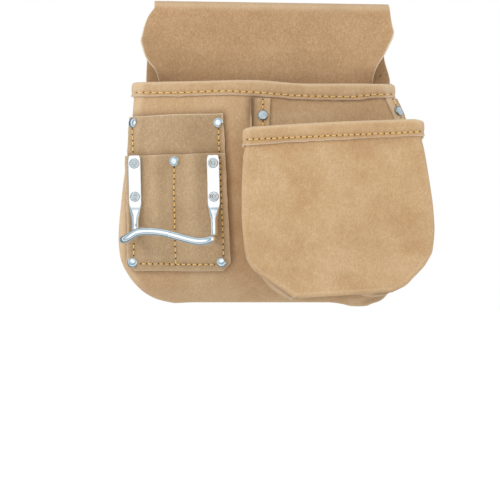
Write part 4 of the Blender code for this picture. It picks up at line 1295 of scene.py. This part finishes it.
def makeCutEdge(name, colors):
    material, tree, shader, vector = startMaterial(
        name, Sheen_Weight=0.3, Sheen_Roughness=0.5, Specular_IOR_Level=0.15, Roughness=0.95)
    fibres = noise(tree, stretched(tree, vector, (1400.0, 3800.0, 1400.0), (0.0, 0.0, 0.0)), 1.0, 4.0, 0.7)
    fuzz = ramp(tree, addRange(tree, fibres, 0.3, 0.7), [(0.0, colors[1]), (1.0, colors[0])])
    shaded = times(tree, readMask(tree, "rimShade"), 0.92)
    tree.links.new(mixColors(tree, shaded, fuzz, (0.13, 0.072, 0.034)), shader.inputs["Base Color"])
    addBump(tree, shader, fibres, 0.7, 0.0004)
    return material


def makeThread():
    material, tree, shader, vector = startMaterial(
        "goldThread", Roughness=0.6, Specular_IOR_Level=0.35, Sheen_Weight=0.2, Sheen_Roughness=0.4)
    strands = noise(tree, stretched(tree, vector, (2600.0,) * 3, (0.4, 0.6, 0.2)), 1.0, 3.0, 0.6)
    dyed = noise(tree, vector, 60.0, 2.0)
    base = ramp(tree, strands, [
        (0.3, (0.78, 0.43, 0.10)), (0.55, (1.00, 0.65, 0.21)), (0.8, (1.00, 0.82, 0.42))])
    color = mixColors(tree, times(tree, dyed, 0.3), base, (1.00, 0.68, 0.25))
    tree.links.new(color, shader.inputs["Base Color"])
    addBump(tree, shader, strands, 0.5, 0.0002)
    return material


def makeHoleShade():
    # painted shade of a hole's inside: a near-black fibrous colour for the hole discs
    material, tree, shader, vector = startMaterial("paintedHoleShade", Roughness=1.0, Specular_IOR_Level=0.05)
    frayed = noise(tree, vector, 2400.0, 3.0)
    color = ramp(tree, frayed, [(0.35, (0.030, 0.012, 0.005)), (0.7, (0.11, 0.050, 0.020))])
    tree.links.new(color, shader.inputs["Base Color"])
    addBump(tree, shader, frayed, 0.5, 0.0003)
    return material


def makeMetal(name, color, dull, rough, smudge, scratch, dent):
    material, tree, shader, vector = startMaterial(name, Metallic=1.0)
    cloud = noise(tree, vector, smudge, 3.0, 0.6, 0.5)
    marks = noise(tree, stretched(tree, vector, (250.0, 250.0, 3800.0), (0.2, 0.5, 0.1)), 1.0, 3.0, 0.7)
    tree.links.new(ramp(tree, cloud, [(0.3, dull), (0.62, color)]), shader.inputs["Base Color"])
    spread = plus(tree, times(tree, cloud, 0.10), times(tree, marks, scratch))
    tree.links.new(plus(tree, spread, rough), shader.inputs["Roughness"])
    addBump(tree, shader, marks, dent, 0.00006)
    return material


groups = {"tone": makeSuedeTone(), "nap": makeNap(), "paintedLight": makePaintedHighlightAndShade()}
suedeColors = {  # light, middle and dark of each cut of hide
    "front": ((0.665, 0.448, 0.252), (0.595, 0.372, 0.190), (0.500, 0.282, 0.135)),
    "nail": ((0.650, 0.447, 0.268), (0.580, 0.374, 0.203), (0.486, 0.283, 0.145)),
    "flap": ((0.590, 0.358, 0.188), (0.515, 0.302, 0.154), (0.415, 0.232, 0.112)),
    "patch": ((0.532, 0.357, 0.207), (0.466, 0.307, 0.174), (0.370, 0.235, 0.128)),
    "pencil": ((0.562, 0.378, 0.220), (0.494, 0.326, 0.186), (0.394, 0.252, 0.138)),
    "edge": ((0.920, 0.740, 0.545), (0.700, 0.510, 0.340)),
}
materials = {
    "front": makeSuede("suedeFront", suedeColors["nail"], 0.040, 0.55),
    "tape": makeSuede("suedeTape", suedeColors["front"], 0.032, 0.55),
    "patch": makeSuede("suedePatch", suedeColors["patch"], 0.036, 0.52),
    "pencil": makeSuede("suedePencil", suedeColors["pencil"], 0.036, 0.52),
    "flap": makeSuede("suedeFlap", suedeColors["flap"], 0.045, 0.55),
    "edge": makeCutEdge("cutEdge", suedeColors["edge"]),
    "thread": makeThread(),
    "hole": makeHoleShade(),
    "steel": makeMetal("brightSteel", (0.96, 0.97, 0.98), (0.86, 0.88, 0.90), 0.04, 90.0, 0.08, 0.06),
    "dome": makeMetal("polishedNickel", (0.90, 0.95, 0.98), (0.72, 0.78, 0.82), 0.04, 160.0, 0.06, 0.02),
    "ringed": makeMetal("satinNickel", (0.88, 0.90, 0.91), (0.60, 0.63, 0.65), 0.07, 420.0, 0.12, 0.12),
    "flat": makeMetal("dullNickel", (0.50, 0.58, 0.61), (0.34, 0.41, 0.44), 0.16, 300.0, 0.12, 0.08),
}
print("materials made")


# Build the apron

backPanel = buildBackPanel()
nailPocket = buildNailPocket()
tapePocket = buildTapePocket()
markerPatch = buildPatch("marker_patch_suede", patch["markerHeight"], 1, markerBulge, "patch")
pencilPatch = buildPatch("pencil_patch_suede", patch["pencilHeight"], 2, bothBulges, "pencil")
print("leather cut:", [(piece.name, len(piece.data.polygons)) for piece in
                       (backPanel, nailPocket, tapePocket, markerPatch, pencilPatch)])

hammerLoop = buildHammerLoop()
rivets = {rivet[0]: buildRivet(*rivet) for rivet in rivetPlaces()}
print("steel made:", len(rivets), "rivets and the loop")

pitch = {"hem": 0.0057, "tapeHem": 0.0048, "tab": 0.0050, "patch": 0.0046, "rear": 0.0060}


def sewNailPocket():
    sewing = Sewing(nailPocket)
    xs = np.linspace(-0.1075, 0.1005, 60)
    zs = nailMouthWave(xs) - mouthDrop - nail["hem"] - nailHemEdge(xs) + 0.0027
    sewing.sewLine(frontLine(xs, zs), pitch["hem"])
    return sewing


def sewTapePocket():
    sewing = Sewing(tapePocket)
    left, right = (tapeX(tape[side], 0.07) for side in ("left", "right"))
    shares = np.linspace(0.004, 0.994, 40)
    xs = mix(left, right, shares)
    zs = tapeLevel(0.0, shares) - 0.0080
    sewing.sewLine(frontLine(xs, zs), pitch["tapeHem"])
    rivetZ = (tabTop() - tape["tabFoot"]) / 2
    clear = rivetShape["cap"] + 0.0006
    steps = np.linspace(0, 1, 8)
    for top, low, drop in ((tabTop() - 0.0010, rivetZ + clear, steps),
                           (rivetZ - clear, rivetZ - clear - 0.015, np.ones(8))):
        zs = np.linspace(top, low, 8)
        left, right = tabMiddles(zs)
        sewing.sewWall(np.full(8, left), zs - tape["leftDrop"] * drop, pitch["tab"], 0.010)
        sewing.sewWall(right, zs, pitch["tab"], 0.010)
    return sewing


def sewPatches():
    marker, pencil = Sewing(markerPatch), Sewing(pencilPatch)
    bottom = -patch["drop"] - patch["markerHeight"]
    mouth = pencilMouth()
    clear = rivetShape["cap"] + 0.0008
    topZ = -patch["drop"] - patch["inset"] - layer

    def sewDown(sewing, side, top, low):
        zs = np.linspace(top, low, 30)
        left, right = patchEdges(zs)
        inset = patch["inset"] + 0.0012 * (topZ - zs) / patch["markerHeight"]
        xs = {"left": left + inset, "right": right - inset, "split": patchSplit(zs)}[side]
        sewing.sewWall(xs, zs, pitch["patch"], 0.016)

    for side in ("left", "right"):
        sewDown(marker, side, topZ - clear, mouth + 0.0024)
        sewDown(pencil, side, mouth - 0.0028, bottom + patch["chamfer"] + clear)
    middleZ = mouth - rivetShape["cap"] - leather["gap"] - leather["thickness"] / 2
    sewDown(pencil, "split", middleZ - clear, bottom + 0.0049)
    left, right = patchEdges(bottom + 0.0046)
    xs = np.linspace(left + patch["inset"] + clear + 0.002, right - patch["inset"] - clear - 0.004, 30)
    pencil.sewWall(xs, np.full(30, bottom + 0.0055), pitch["patch"], 0.016)
    return marker, pencil


def sewRear():
    # the seam that holds the nail pocket, seen on the rear face, and a lone awl mark by the flap, a disc
    # painted with a hole's shade
    sewing = Sewing(backPanel)
    inset = 0.0062
    zs = np.linspace(-mouthDrop - 0.004, -0.197, 80)
    left, right = panelEdges(zs)
    foot = np.linspace(left[-1] + inset, right[-1] - inset, 40)
    footZ = -0.2005 + 0.0035 * np.linspace(-1, 1, 40) ** 8
    line = frontLine(allRound(left + inset, foot, right - inset), allRound(zs, footZ, zs))
    sewing.sewLine(line, pitch["rear"], direction=(0, -1, 0), back=0.3)
    sewing.holes.append(holeShadeGrid(*sewing.land((0.0946, -0.3, -0.0199), (0, 1, 0))))
    return sewing


threads = []
sewings = [sewNailPocket(), sewTapePocket(), *sewPatches(), sewRear()]
for sewing in sewings:
    threads += sewing.build()
    # masks for the painted highlight on ridges and the painted shade in hollows and along the stitch lines
    markFolds(sewing.piece, 3)
    markNear(sewing.piece, "seam", sewing.spots, 0.0022, 1.0)

# painted shade beside the patches, around and under the tape pocket, along the sliver crease at the nail
# pocket's foot, by the tabs and in the tape pocket's creases; painted highlight along the fold lines of the
# tape pocket and the patches; painted shade on the cut edges by the tabs
sliver = np.linspace((0.0815, -0.012, -0.2108), (0.0945, -0.016, -0.2062), 16)
underTape = nailWall(np.linspace(0.026, 0.094, 30), np.linspace(-0.2045, -0.2005, 30))
tapeBorder = borders["tape"]
leftTab, rightTab = borders["tabs"][:26], borders["tabs"][26:]
for piece, mask, reach, strength, *spots in (
        (nailPocket, "shade", 0.0040, 1.0, borders["marker_patch_suede"], tapeBorder, sliver),
        (nailPocket, "shade", 0.0125, 0.48, tapeBorder[tapeBorder[:, 2] < -tape["drop"]]),
        (nailPocket, "shade", 0.0050, 0.75, underTape),
        (tapePocket, "shade", 0.0042, 1.0, leftTab),
        (tapePocket, "shade", 0.0020, 1.0, rightTab, borders["tapeCrease"]),
        (tapePocket, "foldLine", 0.0009, 1.0, borders["tapeFold"] + (0.0, -0.0010, 0.0)),
        (tapePocket, "rimShade", 0.0130, 1.0, borders["tabs"]),
        (markerPatch, "shade", 0.0030, 1.0, borders["pencil_patch_suede"]),
        (markerPatch, "foldLine", 0.0008, 1.0, borders["marker_patch_suede"]),
        (pencilPatch, "foldLine", 0.0008, 1.0, borders["pencil_patch_suede"])):
    markNear(piece, mask, np.concatenate(spots), reach, strength)
print("sewn:", sum(len(sewing.holes) for sewing in sewings), "holes")


# Ride and stand for the CAD nodes

standsFor = {"back_panel": backPanel, "nail_pocket": nailPocket, "tape_pocket": tapePocket,
             "marker_patch": markerPatch, "pencil_patch": pencilPatch, "hammer_loop": hammerLoop, **rivets}
for node, piece in standsFor.items():
    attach(piece, "root")
    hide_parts(node)
    ("suede" if "suede" in piece.name
            else "bright_steel" if node == "hammer_loop" else "nickel_rivets")
for piece in threads:
    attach(piece, "root")


# Floor, light and camera

studio = {"floorDrop": -0.42, "floorSize": 6.0, "glowAxis": (-0.14, -0.975, 0.17), "glowStir": 2.3,
          "sideGlow": (0.985, 0.05, 0.16), "aim": (0.0, -0.03, -0.10)}
lamps = [  # name, power, size, spot and color
    ("keyLight", 9.3, 0.9, (-1.15, -1.15, 0.7), (1.0, 0.985, 0.965)),
    ("sideLight", 3.2, 0.7, (-1.5, -0.35, 0.15), (1.0, 0.99, 0.98)),
    ("fillLight", 3.9, 1.0, (1.2, -1.0, 0.1), (0.985, 0.99, 1.0)),
    ("topLight", 1.8, 0.8, (0.1, 0.1, 1.3), (1.0, 1.0, 1.0)),
]


def buildFloor():
    mesh = bpy.data.meshes.new("floor")
    half = studio["floorSize"]
    corners = [(-half, -half, 0), (half, -half, 0), (half, half, 0), (-half, half, 0)]
    mesh.from_pydata(corners, [], [(0, 1, 2, 3)])
    material, tree, shader, _ = startMaterial("paleFloor", Roughness=0.9, Specular_IOR_Level=0.1)
    shader.inputs["Base Color"].default_value = (0.76, 0.77, 0.78, 1)
    shader.inputs["Emission Color"].default_value = (1, 1, 1, 1)
    seen = addNode(tree, "ShaderNodeLightPath").outputs["Is Camera Ray"]
    tree.links.new(addRange(tree, seen, 0.0, 1.0, 0.24, 1.0), shader.inputs["Emission Strength"])
    floor = addPiece("floor", mesh, material)
    floor.location = (0, 0, studio["floorDrop"])
    floor.visible_glossy = False


def addLight(name, power, size, spot, color):
    lamp = bpy.data.lights.new(name, "AREA")
    lamp.shape = "DISK"
    lamp.size = size
    lamp.energy = power
    lamp.color = color
    light = bpy.data.objects.new(name, lamp)
    light.location = spot
    light.visible_glossy = False
    light.rotation_euler = (Vector(studio["aim"]) - Vector(spot)).to_track_quat("-Z", "Y").to_euler()
    scene.collection.objects.link(light)


def facing(tree, direction, axis):
    node = addNode(tree, "ShaderNodeVectorMath", operation="DOT_PRODUCT")
    node.inputs[1].default_value = axis
    tree.links.new(direction, node.inputs[0])
    return node.outputs["Value"]


def buildWorld():
    world = bpy.data.worlds.new("studio")
    scene.world = world
    world.use_nodes = True
    tree = world.node_tree
    background = tree.nodes["Background"]
    direction = tree.nodes.new("ShaderNodeTexCoord").outputs["Generated"]
    stir = addRange(tree, noise(tree, direction, studio["glowStir"], 2.0), 0.3, 0.7, -0.045, 0.045)
    away = plus(tree, addRange(tree, facing(tree, direction, studio["glowAxis"]), 1.0, -1.0), stir)
    sky = ramp(tree, away, [
        (0.00, (1.12, 1.12, 1.12)), (0.060, (1.10, 1.10, 1.10)), (0.095, (0.72, 0.81, 0.86)),
        (0.15, (0.27, 0.39, 0.45)), (0.25, (0.38, 0.51, 0.57)), (0.35, (1.00, 1.04, 1.06)),
        (0.43, (0.62, 0.70, 0.74)), (0.51, (0.14, 0.22, 0.25)), (0.66, (0.07, 0.12, 0.14)),
        (0.80, (0.45, 0.48, 0.50)), (1.00, (0.34, 0.37, 0.39))])
    beside = addRange(tree, facing(tree, direction, studio["sideGlow"]), 0.74, 0.90)
    sky = mixColors(tree, beside, sky, (1.05, 1.05, 1.05))
    seen = addNode(tree, "ShaderNodeLightPath").outputs["Is Camera Ray"]
    tree.links.new(mixColors(tree, seen, sky, (1.0, 1.0, 1.0)), background.inputs["Color"])
    background.inputs["Strength"].default_value = 1.0


buildFloor()
buildWorld()
for lamp in lamps:
    addLight(*lamp)

view = {"spot": (-0.0148, -1.52815, -0.1656), "halfWidth": 0.205, "distance": 1.5}
camera = bpy.data.cameras.new("camera")
camera.sensor_width = 36
camera.lens = camera.sensor_width / 2 * view["distance"] / view["halfWidth"]
cameraObject = bpy.data.objects.new("camera", camera)
cameraObject.location = view["spot"]
cameraObject.rotation_euler = (math.radians(90), 0, 0)
scene.collection.objects.link(cameraObject)
scene.camera = cameraObject
scene.view_settings.view_transform = "Standard"
scene.view_settings.look = "None"
print("studio set")
